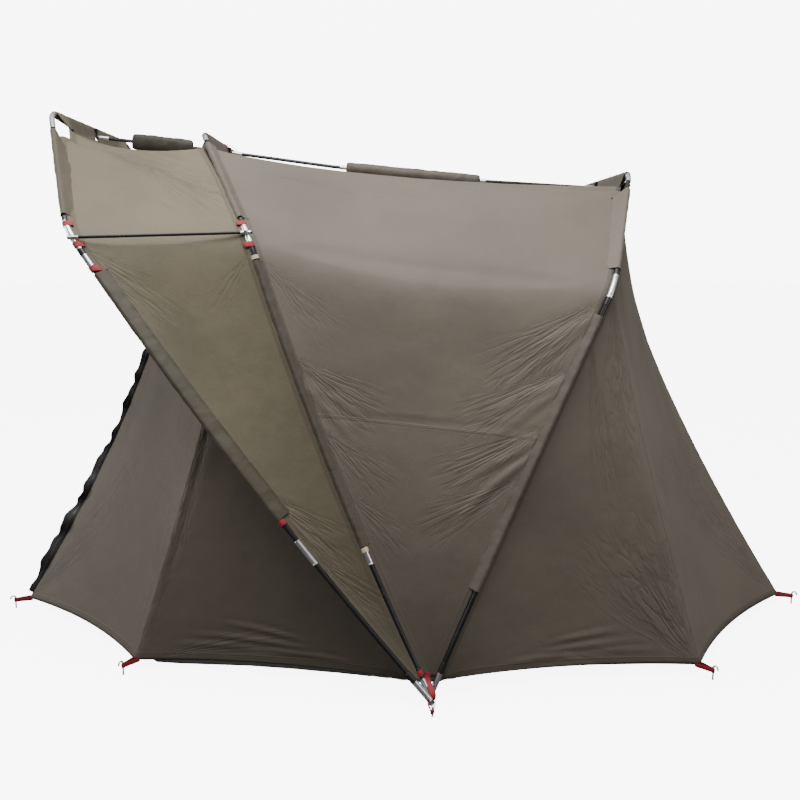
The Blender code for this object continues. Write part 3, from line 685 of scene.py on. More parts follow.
@once("materials", "zip tape")
def zip_material(name):
    """Black zip tape with its row of teeth."""
    made, graph, shader = new_material(name)
    run = graph.attribute("run")
    teeth = graph.band(graph.attribute("across"), 0.42, 0.58, 0.03)
    step = graph.ramp(graph.math("SINE", graph.math("MULTIPLY", run, TOOTH_SCALE)), -0.3, 0.3)
    tooth = graph.math("MULTIPLY", teeth, step)
    shade = graph.mix(tooth, opaque(colours().mesh), (0.035, 0.035, 0.035, 1))
    graph.join(shade, shader.inputs["Base Color"])
    graph.join(graph.math("MULTIPLY_ADD", teeth, -0.3, 0.7), shader.inputs["Roughness"])
    add_bump(graph, shader, tooth, 0.6, 0.0012)
    return made


def leg_point(rib, fraction):
    """A point of a near leg, from the hub pin (0) to the shoulder (1)."""
    shoulder_x, shoulder_z, _, _, place, bow = RIBS[rib]
    foot = Vector((HUB_X, -HUB_HALF_WIDTH - place * FOOT_PITCH, PIN_HEIGHT))
    chord = Vector((shoulder_x, -SHOULDER_HALF_WIDTH, shoulder_z)) - foot
    outward = Vector((-chord.z, 0, chord.x)).normalized()
    return foot + chord * fraction + outward * bow * 4 * fraction * (1 - fraction)


def through(first, middle, last, part):
    """A point of the smooth curve through three points."""
    control = middle * 2 - (first + last) / 2
    return first * (1 - part) ** 2 + control * 2 * part * (1 - part) + last * part ** 2


def rib_corners(rib):
    """Key points of the near half of a rib's crown, by row."""
    shoulder_x, shoulder_z, corner_x, corner_z, _, _ = RIBS[rib]
    shoulder = Vector((shoulder_x, -SHOULDER_HALF_WIDTH, shoulder_z))
    corner = Vector((corner_x, -CORNER_HALF_WIDTH, corner_z))
    centre = Vector((corner_x, 0, corner_z))
    leg_end = leg_point(rib, LEG_HIGH)
    to_leg = shoulder + (leg_end - shoulder).normalized() * SHOULDER_BEND
    to_corner = shoulder + (corner - shoulder).normalized() * SHOULDER_BEND
    from_shoulder = corner + (shoulder - corner).normalized() * CORNER_BEND
    from_centre = corner + (centre - corner).normalized() * CORNER_BEND
    return {
        "leg": leg_end, "shoulder": (to_leg + 2 * shoulder + to_corner) / 4, "above": to_corner,
        "below": from_shoulder, "corner": (from_shoulder + 2 * corner + from_centre) / 4, "bar": from_centre,
        "door": Vector((corner_x, -DOOR_TOP_HALF_WIDTH, corner_z)), "centre": centre,
    }


CORNERS = {rib: rib_corners(rib) for rib in RIBS}


def near_rib_point(rib, row):
    """A point of the near half of a rib at any row."""
    key = CORNERS[rib]
    if row <= LEG_STEPS:
        return leg_point(rib, LEG_LOW + (LEG_HIGH - LEG_LOW) * row / LEG_STEPS)
    if row <= SHOULDER_ROW + 1:
        return through(key["leg"], key["shoulder"], key["above"], (row - LEG_STEPS) / 2)
    if row <= CORNER_ROW - 1:
        middle = (key["above"] + Vector((RIBS[rib][2], -CORNER_HALF_WIDTH, RIBS[rib][3]))) / 2
        if row <= SHOULDER_ROW + 2:
            return key["above"].lerp(middle, row - SHOULDER_ROW - 1)
        return middle.lerp(key["below"], row - SHOULDER_ROW - 2)
    if row <= CORNER_ROW + 1:
        return through(key["below"], key["corner"], key["bar"], (row - CORNER_ROW + 1) / 2)
    if row <= DOOR_ROW:
        return key["bar"].lerp(key["door"], row - CORNER_ROW - 1)
    return key["door"].lerp(key["centre"], (row - DOOR_ROW) / 2)


def mirrored(point):
    """The same point on the far side."""
    return Vector((point.x, -point.y, point.z))


def near_row(row):
    """The near-side row that a row mirrors."""
    return min(row, LAST_ROW - row)


def rib_point(rib, row):
    """A point of a rib at any row, near foot to far foot."""
    point = near_rib_point(rib, min(max(near_row(row), 0), CENTRE_ROW))
    return point if row <= CENTRE_ROW else mirrored(point)


def row_fraction(row, low, high):
    """How far a row lies between two rows, kept between 0 and 1."""
    return min(max((row - low) / (high - low), 0), 1)


def pole_edge(rib, row, towards, lift, reach):
    """Where cloth starts beside a pole, lifted by an angle."""
    here = rib_point(rib, row)
    along = (rib_point(rib, min(row + 0.3, LAST_ROW)) - rib_point(rib, max(row - 0.3, 0))).normalized()
    heading = towards - here
    heading = (heading - along * heading.dot(along)).normalized()
    outward = along.cross(heading)
    if outward.dot(here - Vector((here.x, 0, SAG_CENTRE_HEIGHT))) < 0:
        outward.negate()
    return here + (heading * cos(lift) + outward * sin(lift)) * reach


def corner_cut(rib, row):
    """How far the canopy is cut back, and down, near a roof corner."""
    places = [CORNER_ROW + shift for shift in (-2, -1, 0, 1, 2)]
    cuts = ((0, 0), *CORNER_CUTS[rib], (0, 0))
    return [float(np.interp(near_row(row), places, values)) for values in zip(*cuts)]


def canopy_edge(rib, beside, row, lift):
    """Where a canopy starts at a rib: beside the legs, cut at the corner, hung below the crossbar."""
    past_corner = near_row(row) - CORNER_ROW
    if 0 < past_corner < 1:
        places = (CORNER_ROW, CORNER_ROW + 1)
        rows = places if row < CENTRE_ROW else [LAST_ROW - place for place in places]
        low, high = (canopy_edge(rib, beside, place, lift) for place in rows)
        return low.lerp(high, past_corner)
    towards = rib_point(beside, row)
    cut, drop = corner_cut(rib, row)
    if past_corner <= 0:
        return pole_edge(rib, row, towards, lift, LEG_REACH + cut) - Vector((0, 0, drop))
    is_hood_rear = rib == "middle" and beside == "front"
    angle = HOOD_REAR_LEAN if is_hood_rear else BAR_SLEEVE_LEAN[rib]
    reach = HOOD_REAR_REACH if is_hood_rear else BAR_SLEEVE_REACH
    hung = rib_point(rib, row) + Vector((cos(angle), 0, sin(angle))) * reach
    return hung + Vector((copysign(cut, towards.x - hung.x), 0, 0))


def sagged(start, end, part, sag, tilt):
    """A point of a row of cloth between two edges, hollowed towards the inside of the tent."""
    chord = end - start
    middle = (start + end) / 2
    inside = Vector((middle.x * SAG_CENTRE_PART, 0, SAG_CENTRE_HEIGHT)) - middle
    inside = (inside - chord * inside.dot(chord) / chord.length_squared).normalized()
    place = part ** tilt
    return start + chord * part + inside * sag * 4 * place * (1 - place)


@lru_cache(maxsize=None)
def canopy_ends(fore, aft, row, fore_lift, aft_lift):
    """The two edge points of a row of canopy."""
    up_crown = row_fraction(near_row(row), SHOULDER_ROW - 1, CORNER_ROW)
    lifts = [leg_lift + (ROOF_LIFT - leg_lift) * up_crown for leg_lift in (fore_lift, aft_lift)]
    return canopy_edge(fore, aft, row, lifts[0]), canopy_edge(aft, fore, row, lifts[1])


def canopy_sag(row, row_sags):
    """Sag of a row of canopy, as a part of its span."""
    foot_sag, corner_sag, ridge_sag, _ = row_sags
    place = near_row(row)
    sag = foot_sag + (corner_sag - foot_sag) * row_fraction(place, 0, CORNER_ROW) ** 2
    return sag + (ridge_sag - corner_sag) * row_fraction(place, CORNER_ROW, CENTRE_ROW)


def pulled_in(start, stop, fraction):
    """A point of a hem between two pulled points, which curves in towards the tent."""
    chord = stop - start
    inward = Vector((-chord.y, chord.x, 0)).normalized()
    if inward.dot(start + stop) > 0:
        inward.negate()
    return start + chord * fraction + inward * HEM_CURVE * 4 * fraction * (1 - fraction)


def hem_point(hem, row):
    """Where a row of an end wall meets the ground."""
    hub, corner, end = (Vector((x, -half, height)) for x, half, height in hem)
    place = near_row(row)
    if place <= SHOULDER_ROW:
        point = pulled_in(hub, corner, place / SHOULDER_ROW)
    elif place <= DOOR_ROW:
        point = pulled_in(corner, end, (place - SHOULDER_ROW) / (DOOR_ROW - SHOULDER_ROW))
    else:
        point = end.lerp(Vector((end.x, 0, end.z)), (place - DOOR_ROW) / (CENTRE_ROW - DOOR_ROW))
    return point if row <= CENTRE_ROW else mirrored(point)


def canopy_point(ribs, lifts, row_sags, row, part):
    """A point of a canopy on the row that joins the same places of its two ribs."""
    start, end = canopy_ends(*ribs, row, *lifts)
    return sagged(start, end, part, canopy_sag(row, row_sags) * (end - start).length, row_sags[3])


def softened(canopy, softness, row, part):
    """A point of a canopy whose bend at the shoulder is spread wider away from the ribs."""
    near_shoulder = max(1 - abs(near_row(row) - SHOULDER_ROW) / SOFT_ROWS, 0)
    reach = softness * near_shoulder * (4 * part * (1 - part)) ** 0.4
    places = [row + reach * shift for shift in (-1, -0.5, 0, 0.5, 1)] if reach > 0 else [row]
    return sum((canopy_point(*canopy, place, part) for place in places), Vector()) / len(places)


def main_point(row, part):
    """A point of the main canopy: part 0 at the middle rib, 1 at the rear rib."""
    return softened((("middle", "rear"), (ROOF_LIFT, 0), ROOF_SAGS), MAIN_SOFTNESS, row, part)


def hood_point(row, part):
    """A point of the hood: part 0 at the front rib, 1 at the middle rib."""
    return softened((("front", "middle"), (HOOD_LIFT, HOOD_LIFT), HOOD_SAGS), HOOD_SOFTNESS, row, part)


@lru_cache(maxsize=None)
def wall_ends(rib, hem, row):
    """The two edge points of a row of an end wall."""
    foot = hem_point(hem, row)
    reach = float(np.interp(near_row(row), (CORNER_ROW - 1, CORNER_ROW, CORNER_ROW + 1), WALL_REACHES))
    return pole_edge(rib, row, foot, 0, reach), foot


def wall_point(rib, hem, outward, wall_sags, row, part):
    """A point of an end wall: part 0 at its rib, 1 at the hem."""
    start, foot = wall_ends(rib, hem, row)
    seam_sag, middle_sag, bulge, tilt = wall_sags
    place = near_row(row)
    sag = seam_sag * row_fraction(place, 0, SHOULDER_ROW)
    sag += (middle_sag - seam_sag) * sin(row_fraction(place, SHOULDER_ROW, DOOR_ROW) * pi / 2)
    point = sagged(start, foot, part, sag, tilt)
    swell = bulge * (1 - row_fraction(CENTRE_ROW - place, 0, CENTRE_ROW - DOOR_ROW) ** 2)
    point.x += outward * swell * sin(pi * part)
    return point


def front_point(row, part):
    """A point of the front wall and its door."""
    return wall_point("middle", FRONT_HEM, -1, FRONT_WALL_SAGS, row, part)


def rear_point(row, part):
    """A point of the rear wall."""
    return wall_point("rear", REAR_HEM, 1, REAR_WALL_SAGS, row, part)


def even_rows(point_of, first, last, count, part):
    """Rows from first to last that lie evenly along one line of the cloth."""
    rows = np.linspace(first, last, 400)
    line = [point_of(row, part) for row in rows]
    steps = [(after - before).length for before, after in zip(line, line[1:])]
    run = np.concatenate([[0.0], np.cumsum(steps)])
    return np.interp(np.linspace(0, run[-1], count + 1), run, rows), run[-1]


class Fold:
    """One fold of the cloth along a line of its points."""

    def __init__(self, line, width, depth, fade="both"):
        self.line = np.array(line)
        self.width = width
        self.depth = depth
        self.fade = fade

    def lift(self, points):
        """How far each point is pushed along its normal."""
        nearest = np.full(len(points), FAR_AWAY)
        place = np.zeros(len(points))
        for index, (start, end) in enumerate(zip(self.line, self.line[1:])):
            way = end - start
            part = np.clip((points - start) @ way / (way @ way), 0, 1)
            away = np.linalg.norm(points - start - part[:, None] * way, axis=1)
            place = np.where(away < nearest, (index + part) / (len(self.line) - 1), place)
            nearest = np.minimum(nearest, away)
        away = nearest / self.width
        strength = np.sin(pi * place) if self.fade == "both" else (1 - place) ** 0.8
        return self.depth * strength * (1 - 1.6 * away ** 2) * np.exp(-(away ** 2))


def cloth_line(point_of, start, end, steps=6):
    """Points on the cloth between two places, each a row and a part."""
    return [point_of(*place) for place in np.linspace(start, end, steps + 1)]


def fan(point_of, anchor, target, spread, count, width, depth, seed):
    """Folds that fan out from an anchor towards a target, each with its own length."""
    chance = np.random.default_rng(seed)
    folds = []
    for index in range(count):
        turn = (index / max(count - 1, 1) - 0.5) * 2
        reach = 0.65 + 0.5 * chance.random()
        row = anchor[0] + (target[0] - anchor[0]) * reach + spread[0] * turn
        part = anchor[1] + (target[1] - anchor[1]) * reach + spread[1] * turn
        start = (anchor[0] + spread[0] * turn * 0.35, anchor[1])
        scale = 0.7 + 0.6 * chance.random()
        line = cloth_line(point_of, start, (row, min(max(part, 0.01), 0.99)))
        folds.append(Fold(line, width * scale, depth * scale, "away"))
    return folds


def crease_marks(point_of, points, bursts):
    """For each point, a coordinate across the fine creases that burst from an anchor, and their strength."""
    across = np.zeros(len(points))
    strength = np.zeros(len(points))
    for anchor, target, half_angle, most in bursts:
        start = np.array(point_of(*anchor))
        line = np.array(point_of(*target)) - start
        length = np.linalg.norm(line)
        line /= length
        beside = np.array(point_of(anchor[0] + 0.4, anchor[1])) - start
        beside -= line * (beside @ line)
        beside /= np.linalg.norm(beside)
        offset = points - start
        reach = np.linalg.norm(offset, axis=1) / length
        turn = np.arctan2(offset @ beside, offset @ line)
        here = most * np.clip(1 - np.abs(turn) / half_angle, 0, 1) ** 0.6
        here *= np.clip(reach / 0.12, 0, 1) * np.clip(1.1 - reach, 0, 1) ** 0.7
        across = np.where(here > strength, turn * length * 0.7 + anchor[0], across)
        strength = np.maximum(strength, here)
    return across, strength


def both_sides(point_of):
    """The near side's place on a sheet, and the far side's."""
    return point_of, lambda row, part: point_of(LAST_ROW - row, part)


def creases(point_of, lines, width, depth):
    """Folds between given pairs of places on the cloth."""
    return [Fold(cloth_line(point_of, start, end, 10), width, depth) for start, end in lines]


def streaks(point_of, rows, parts, length, count, width, depth, seed):
    """Short folds along the rows of a cloth, spread over a range of rows and parts."""
    chance = np.random.default_rng(seed)
    lines = []
    for _ in range(count):
        row = chance.uniform(*rows)
        part = chance.uniform(*parts)
        lines.append(((row, part), (row + chance.uniform(-0.1, 0.1), part + length * chance.uniform(0.5, 1))))
    return creases(point_of, lines, width, depth)


def fans(point_of, rows_of_fans, later=0):
    """All folds of several fans; later is added to each seed."""
    folds = []
    for anchor, target, spread, count, width, depth, seed in rows_of_fans:
        folds += fan(point_of, anchor, target, spread, count, width, depth, seed + later)
    return folds


def ripples(points, scale, depth, seed):
    """Shallow crinkles spread over a whole sheet."""
    lift = np.empty(len(points))
    shift = Vector((seed * 7.3, seed * 3.1, seed * 1.7))
    for index, point in enumerate(points):
        spot = Vector(point) * scale + shift
        lift[index] = noise.noise(spot) + 0.5 * noise.noise(spot * 2.3)
    return lift * depth


def finish_piece(name, bm, material, smooth_angle=None):
    """Turn a bmesh into a piece of the tent; one with a smoothing angle is closed and faces outward."""
    if smooth_angle:
        bmesh.ops.recalc_face_normals(bm, faces=bm.faces)
    mesh = bpy.data.meshes.new(name)
    bm.to_mesh(mesh)
    bm.free()
    mesh.shade_smooth()
    if smooth_angle:
        mesh.set_sharp_from_angle(angle=radians(smooth_angle))
    mesh.materials.append(material)
    piece = bpy.data.objects.new(name, mesh)
    bpy.context.collection.objects.link(piece)
    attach(piece, BODY)
    return piece


def solidify(piece, thickness):
    """Give a sheet its thickness, to both sides."""
    modifier = piece.modifiers.new("thickness", "SOLIDIFY")
    modifier.thickness = thickness
    modifier.offset = 0


def point_layers(bm, *names):
    """Numbers kept on each point of a bmesh, made where they are missing; all are made before one is read."""
    layers = bm.verts.layers.float
    for name in names:
        if not layers.get(name):
            layers.new(name)
    return [layers.get(name) for name in names]


class Layout:
    """The grid of a sheet: its rows, evenly spaced along its middle, and how wide each is."""

    def __init__(self, point_of, first, last, cell):
        self.point_of = point_of
        self.length = max(even_rows(point_of, first, last, 1, part)[1] for part in (0, 0.5, 1))
        self.along = max(int(self.length / cell), 8)
        self.rows = even_rows(point_of, first, last, self.along, 0.5)[0]
        self.widths = [SEAM_SPARE * (point_of(row, 1) - point_of(row, 0)).length for row in self.rows]
        self.width = max(self.widths)
        self.across = max(int(self.width / cell), 4)

    def run(self, index):
        """How far along the sheet a row lies."""
        return self.length * index / self.along


def lay_grid(bm, layout, seams):
    """Lay a grid over the sheet's surface; its points keep their run and how far edges and seams are."""
    cut = bm.loops.layers.uv.new("cut")
    from_start, from_end, run, seam = point_layers(bm, "from_start", "from_end", "run", "seam")
    runs = np.linspace(0, layout.length, layout.along + 1)
    seam_rows = [row for place in seams for row in (place, LAST_ROW - place)]
    seam_runs = [float(np.interp(row, layout.rows, runs)) for row in seam_rows]
    bmesh.ops.create_grid(bm, x_segments=layout.along, y_segments=layout.across, size=0.5)
    flat = {}
    for vert in bm.verts:
        index = round((vert.co.x + 0.5) * layout.along)
        part = vert.co.y + 0.5
        vert[from_start] = part * layout.widths[index]
        vert[from_end] = (1 - part) * layout.widths[index]
        vert[run] = layout.run(index)
        vert[seam] = min((abs(runs[index] - place) for place in seam_runs), default=FAR_AWAY)
        flat[vert] = (part * layout.width, layout.run(index))
        vert.co = layout.point_of(layout.rows[index], part)
    for face in bm.faces:
        for loop in face.loops:
            loop[cut].uv = flat[loop.vert]


def face_out(bm):
    """Turn a sheet's faces so that they look out of the tent."""
    bm.normal_update()
    bm.faces.ensure_lookup_table()
    middle = bm.faces[len(bm.faces) // 2]
    if middle.normal.dot(middle.calc_center_median() - Vector((0, 0, SAG_CENTRE_HEIGHT))) < 0:
        bmesh.ops.reverse_faces(bm, faces=bm.faces)
        bm.normal_update()


def mark_creases(bm, point_of, points, bursts):
    """Keep on each point of a sheet where it lies across the strongest fine creases there."""
    crease, creased = point_layers(bm, "crease", "creased")
    for side_point in both_sides(point_of):
        for vert, coordinate, strength in zip(bm.verts, *crease_marks(side_point, points, bursts)):
            if strength > vert[creased]:
                vert[crease] = coordinate
                vert[creased] = strength


def push_folds(bm, points, folds, ripple, seed):
    """Push a sheet's points in and out by its folds and crinkles, and less near its two held edges."""
    from_start, from_end = point_layers(bm, "from_start", "from_end")
    normals = np.array([vert.normal for vert in bm.verts])
    lift = ripples(points, *ripple, seed)
    for fold in folds:
        lift += fold.lift(points)
    edge = np.array([min(vert[from_start], vert[from_end]) for vert in bm.verts])
    hold = np.clip(edge / 0.05, 0, 1) ** 0.7
    moved = points + normals * (lift * hold * sizes().folds)[:, None]
    for vert, place in zip(bm.verts, moved):
        vert.co = place


def sheet_piece(name, point_of, rows, material, folds=(), ripple=(9.0, 0.0012), seed=1, cell=None,
                seams=(), bursts=()):
    """Lay a sheet of cloth between two rows of a surface; gives the piece, its flat size and its area."""
    layout = Layout(point_of, *rows, cell or sizes().cell)
    bm = bmesh.new()
    lay_grid(bm, layout, seams)
    area = sum(face.calc_area() for face in bm.faces)
    face_out(bm)
    points = np.array([vert.co for vert in bm.verts])
    mark_creases(bm, point_of, points, bursts)
    push_folds(bm, points, folds, ripple, seed)
    piece = finish_piece(name, bm, material)
    solidify(piece, sizes().cloth)
    return piece, (layout.width, layout.length), area


def near_far(*names):
    """The near and far node of each name."""
    return [f"{name}_{side}" for name in names for side in ("near", "far")]


def station(point, along, across, wide, tall):
    """A frame for one ring of a swept bar: its centre, direction and half sizes."""
    along = along.normalized()
    across = (across - along * across.dot(along)).normalized()
    third = along.cross(across)
    matrix = Matrix.Identity(4)
    for row in range(3):
        matrix[row][0] = across[row] * wide
        matrix[row][1] = third[row] * tall
        matrix[row][2] = along[row] * wide
        matrix[row][3] = point[row]
    return matrix


def sweep(bm, frames, sides, closed=True, shape=None):
    """Extrude a ring from frame to frame; each point keeps its run, its turn and its place across."""
    run, turn, across = point_layers(bm, "run", "turn", "across")
    ring = bmesh.ops.create_circle(bm, cap_ends=closed, cap_tris=False, segments=sides, radius=1.0)["verts"]
    for index, vert in enumerate(ring):
        vert[turn] = index / sides
    edges = list({edge for vert in ring for edge in vert.link_edges})
    travelled = 0.0
    last = len(frames) - 1
    for index, frame_here in enumerate(frames):
        if index:
            made = bmesh.ops.extrude_edge_only(bm, edges=edges)["geom"]
            ring = [item for item in made if isinstance(item, bmesh.types.BMVert)]
            kept = set(ring)
            made_edges = (item for item in made if isinstance(item, bmesh.types.BMEdge))
            edges = [edge for edge in made_edges if kept.issuperset(edge.verts)]
            travelled += (frame_here.translation - frames[index - 1].translation).length
        for vert in ring:
            angle = 2 * pi * vert[turn]
            co = Vector((cos(angle), sin(angle), 0))
            vert[run] = travelled
            vert[across] = (co.x + 1) / 2
            vert.co = frame_here @ (shape(co, index / last) if shape else co)
    if closed:
        bmesh.ops.contextual_create(bm, geom=edges)


def lay_cut(bm, girth):
    """Give a swept cloth its cut pattern: round the ring one way and along it the other."""
    run, turn = point_layers(bm, "run", "turn")
    cut = bm.loops.layers.uv.new("cut")
    for face in bm.faces:
        turns = [loop.vert[turn] for loop in face.loops]
        wraps = max(turns) - min(turns) > 0.5
        for loop, value in zip(face.loops, turns):
            loop[cut].uv = ((value + (wraps and value < 0.5)) * girth, loop.vert[run])


def along_line(points, radius_of, across=Vector((0, 1, 0)), flat=1.0):
    """Frames along a line of points, with a radius at each part of its length."""
    frames = []
    last = len(points) - 1
    for index, point in enumerate(points):
        along = points[min(index + 1, last)] - points[max(index - 1, 0)]
        if abs(along.normalized().dot(across)) > 0.9:
            across = Vector((1, 0, 0))
        radius = radius_of(index / last)
        frames.append(station(point, along, across, radius, radius * flat))
    return frames


def add_collar(bm, points, radius, lip=0.0006, sides=20):
    """A sleeve of metal or plastic along a line of points, with chamfered ends."""
    first = points[0] + (points[0] - points[1]).normalized() * lip
    last = points[-1] + (points[-1] - points[-2]).normalized() * lip
    line = [first] + points + [last]
    frames = along_line(line, lambda part: radius if 0.001 < part < 0.999 else radius - lip)
    sweep(bm, frames, sides)


def add_ribbon(bm, points, across, width, thickness=0.0018):
    """A flat strap of webbing along a line of points; width may be a pair, at its start and at its end."""
    start, end = width if isinstance(width, tuple) else (width, width)
    last = len(points) - 1
    frames = []
    for index, point in enumerate(points):
        along = points[min(index + 1, last)] - points[max(index - 1, 0)]
        half = (start + (end - start) * index / last) / 2
        frames.append(station(point, along, across(index / last), half, thickness / 2))
    sweep(bm, frames, 12, shape=lambda co, part: Vector((co.x, co.y * (1 - 0.5 * abs(co.x) ** 6), 0)))


def curved(points, count):
    """Points along a smooth curve through a few points."""
    line = []
    last = len(points) - 1
    for step in range(count + 1):
        place = step / count * last
        index = min(int(place), last - 1)
        part = place - index
        before, start, end, after = (points[min(max(index + shift, 0), last)] for shift in (-1, 0, 1, 2))
        bend = before * 2 - start * 5 + end * 4 - after
        twist = start * 3 - before - end * 3 + after
        line.append((start * 2 + (end - before) * part + bend * part ** 2 + twist * part ** 3) / 2)
    return line


def add_button(bm, place, axis, radius, height):
    """A round rivet or bolt head that stands on a surface."""
    turn = axis.to_track_quat("Z", "Y").to_matrix().to_4x4()
    made = bmesh.ops.create_cone(bm, cap_ends=True, segments=14, radius1=radius, radius2=radius * 0.72,
                                 depth=height)["verts"]
    bmesh.ops.transform(bm, matrix=Matrix.Translation(place + axis * height / 2) @ turn, verts=made)


def add_far_side(bm):
    """Copy what stands on the near side to the far side."""
    copied = bmesh.ops.duplicate(bm, geom=bm.verts[:] + bm.edges[:] + bm.faces[:])["geom"]
    verts = [item for item in copied if isinstance(item, bmesh.types.BMVert)]
    faces = [item for item in copied if isinstance(item, bmesh.types.BMFace)]
    bmesh.ops.scale(bm, vec=(1, -1, 1), verts=verts)
    bmesh.ops.reverse_faces(bm, faces=faces)


def crumple(bm, scale, depth, seed):
    """Push the points of a cloth piece in and out by small soft folds."""
    bm.normal_update()
    shift = Vector((seed * 3.7, seed * 1.9, seed * 5.3))
    lifts = [depth * (noise.noise(vert.co * scale + shift) + 0.6 * noise.noise(vert.co * scale * 2.7 + shift))
             for vert in bm.verts]
    for vert, lift in zip(bm.verts, lifts):
        vert.co += vert.normal * lift


def ruler(rib):
    """Distances along the near half of a rib from its shoulder, and the rows they belong to."""
    rows = np.linspace(0, CENTRE_ROW, 900)
    line = [near_rib_point(rib, row) for row in rows]
    run = np.concatenate([[0.0], np.cumsum([(end - start).length for start, end in zip(line, line[1:])])])
    return run - np.interp(SHOULDER_ROW, rows, run), rows


RULERS = {rib: ruler(rib) for rib in RIBS}


def row_at(rib, distance):
    """The row of a rib at a distance from its shoulder: below it is negative."""
    return float(np.interp(distance, *RULERS[rib]))


def rib_run(rib, start, end, step=0.008):
    """Points along the near half of a rib between two distances from its shoulder."""
    count = max(round(abs(end - start) / step), 2)
    places = [start + (end - start) * index / count for index in range(count + 1)]
    return [near_rib_point(rib, row_at(rib, place)) for place in places]


def canopy_cloth():
    """The main cloth's material."""
    colour = colours().canopy
    hems = (("from_start", 0.020, 0.5), ("from_end", 0.020, 0.5), ("seam", 0.006, 0.35))
    # Painted shade darkens this cloth towards the ground.
    return cloth_material("canopy cloth", colour, scaled(colour, 1.25), hems, ground_shade=0.62)


def wall_cloth(wall):
    """An end wall's material, hemmed at the rib and at the ground: the canopy's cloth painted darker for the
    front wall's shade and lighter for the rear wall's light, with painted shade towards the ground.
    """
    tone, ground_shade = WALL_LIGHT_AND_SHADE[wall]
    colour = scaled(colours().canopy, tone)
    hems = (("from_start", 0.022, 0.5), ("from_end", 0.026, 0.7), ("seam", 0.005, 0.3))
    return cloth_material(f"{wall} wall cloth", colour, scaled(colour, 1.25), hems, ground_shade=ground_shade)


def hood_cloth():
    """The hood's material."""
    colour = colours().hood
    hems = (("from_start", 0.026, 0.4), ("from_end", 0.020, 0.4), ("seam", 0.006, 0.3))
    # Painted shade darkens this cloth towards the ground.
    return cloth_material("hood cloth", colour, scaled(colour, 1.35), hems, ground_shade=0.60)


def sleeve_cloth(rib, tone):
    """Doubled cloth of a rib's sleeves, scaled by a tone against the hood or the canopy beside it; the leg,
    upper and bar sleeves take painted shade this way.
    """
    colour = scaled(colours().hood if rib == "front" else colours().canopy, tone)
    return cloth_material(f"{rib} sleeve cloth {tone:.2f}", colour, scaled(colour, 1.35))


def pocket_cloth():
    """Dark cloth of the front ridge pocket."""
    colour = colours().pocket
    return cloth_material("pocket cloth", colour, scaled(colour, 1.3))


def groundsheet_cloth():
    """Grey woven plastic of the groundsheet."""
    colour = colours().floor
    hems = (("from_start", 0.02, 0.3), ("from_end", 0.02, 0.3))
    return cloth_material("groundsheet cloth", colour, scaled(colour, 1.15), hems, sheen=0.0)


def bright_steel():
    """Bright plated steel."""
    return metal_material("bright steel", colours().steel, (0.45, 0.45, 0.46), 1.0)


def black_pole():
    """Black coated steel tube."""
    return metal_material("black pole", colours().pole, (0.09, 0.09, 0.09), 0.3)


def dark_plastic():
    """Black moulded plastic of clamps and collars."""
    return metal_material("dark plastic", (0.012, 0.012, 0.012), (0.05, 0.05, 0.05), 0.0)


def pale_plastic():
    """Cream moulded plastic of the rings that end the middle sleeves."""
    return metal_material("pale plastic", (0.62, 0.50, 0.33), (0.75, 0.70, 0.60), 0.0)


def studio_floor_material():
    """Pale studio floor: white to the eye, and a soft grey to the light that it returns."""
    made, graph, shader = new_material("studio floor")
    seen = graph.add("ShaderNodeLightPath").outputs["Is Camera Ray"]
    speck = graph.noise(graph.add("ShaderNodeTexCoord").outputs["Object"], 14.0)
    tone = opaque(scaled(colours().stage, 0.97))
    pale = graph.mix(speck, opaque(colours().stage), tone)
    graph.join(graph.mix(seen, opaque(FLOOR_BOUNCE), pale), shader.inputs["Base Color"])
    shader.inputs["Roughness"].default_value = 0.9
    shader.inputs["Emission Color"].default_value = (1, 1, 1, 1)
    graph.join(graph.math("MULTIPLY", seen, FLOOR_WHITE), shader.inputs["Emission Strength"])
    return made


def light_world(scene):
    """A white backdrop, and a soft light that grows from the horizon to the zenith."""
    world = bpy.data.worlds.new("studio")
    scene.world = world
    world.use_nodes = True
    graph = Graph(world.node_tree)
    way = graph.add("ShaderNodeTexCoord").outputs["Generated"]
    height = graph.add("ShaderNodeSeparateXYZ", Vector=way).outputs["Z"]
    strength = graph.math("MULTIPLY_ADD", graph.ramp(height, -0.05, 1.0), ZENITH_LIGHT, HORIZON_LIGHT)
    seen = graph.add("ShaderNodeLightPath").outputs["Is Camera Ray"]
    shown = graph.math("MULTIPLY_ADD", seen, BACKDROP_WHITE, strength)
    graph.join(shown, world.node_tree.nodes["Background"].inputs["Strength"])
    world.node_tree.nodes["Background"].inputs["Color"].default_value = (1, 1, 1, 1)


def add_light(name, place, turn, size, power):
    """One soft studio lamp."""
    data = bpy.data.lights.new(name, "AREA")
    data.energy = power
    data.size = size
    light = bpy.data.objects.new(name, data)
    light.location = place
    light.rotation_euler = turn
    bpy.context.collection.objects.link(light)


def add_camera(scene):
    """The photograph's camera."""
    lens = bpy.data.cameras.new("photo_camera")
    lens.lens = CAMERA_LENS
    lens.sensor_width = 36.0
    camera = bpy.data.objects.new("photo_camera", lens)
    camera.location = CAMERA_PLACE
    camera.rotation_euler = (pi / 2 - CAMERA_TILT, 0, -CAMERA_YAW)
    scene.collection.objects.link(camera)
    scene.camera = camera


class TENT_OT_stage(bpy.types.Operator):
    """Pale floor, soft studio light and the photograph's camera"""

    bl_idname = "tent.stage"
    bl_label = "Stage"

    def execute(self, context):
        bm = bmesh.new()
        bmesh.ops.create_circle(bm, cap_ends=True, segments=96, radius=40.0)
        bmesh.ops.translate(bm, vec=(0, 0, -0.001), verts=bm.verts)
        mesh = bpy.data.meshes.new("studio_floor")
        bm.to_mesh(mesh)
        bm.free()
        mesh.materials.append(studio_floor_material())
        floor = bpy.data.objects.new("studio_floor", mesh)
        context.collection.objects.link(floor)
        light_world(context.scene)
        for lamp in LAMPS:
            add_light(*lamp)
        add_camera(context.scene)
        return {"FINISHED"}


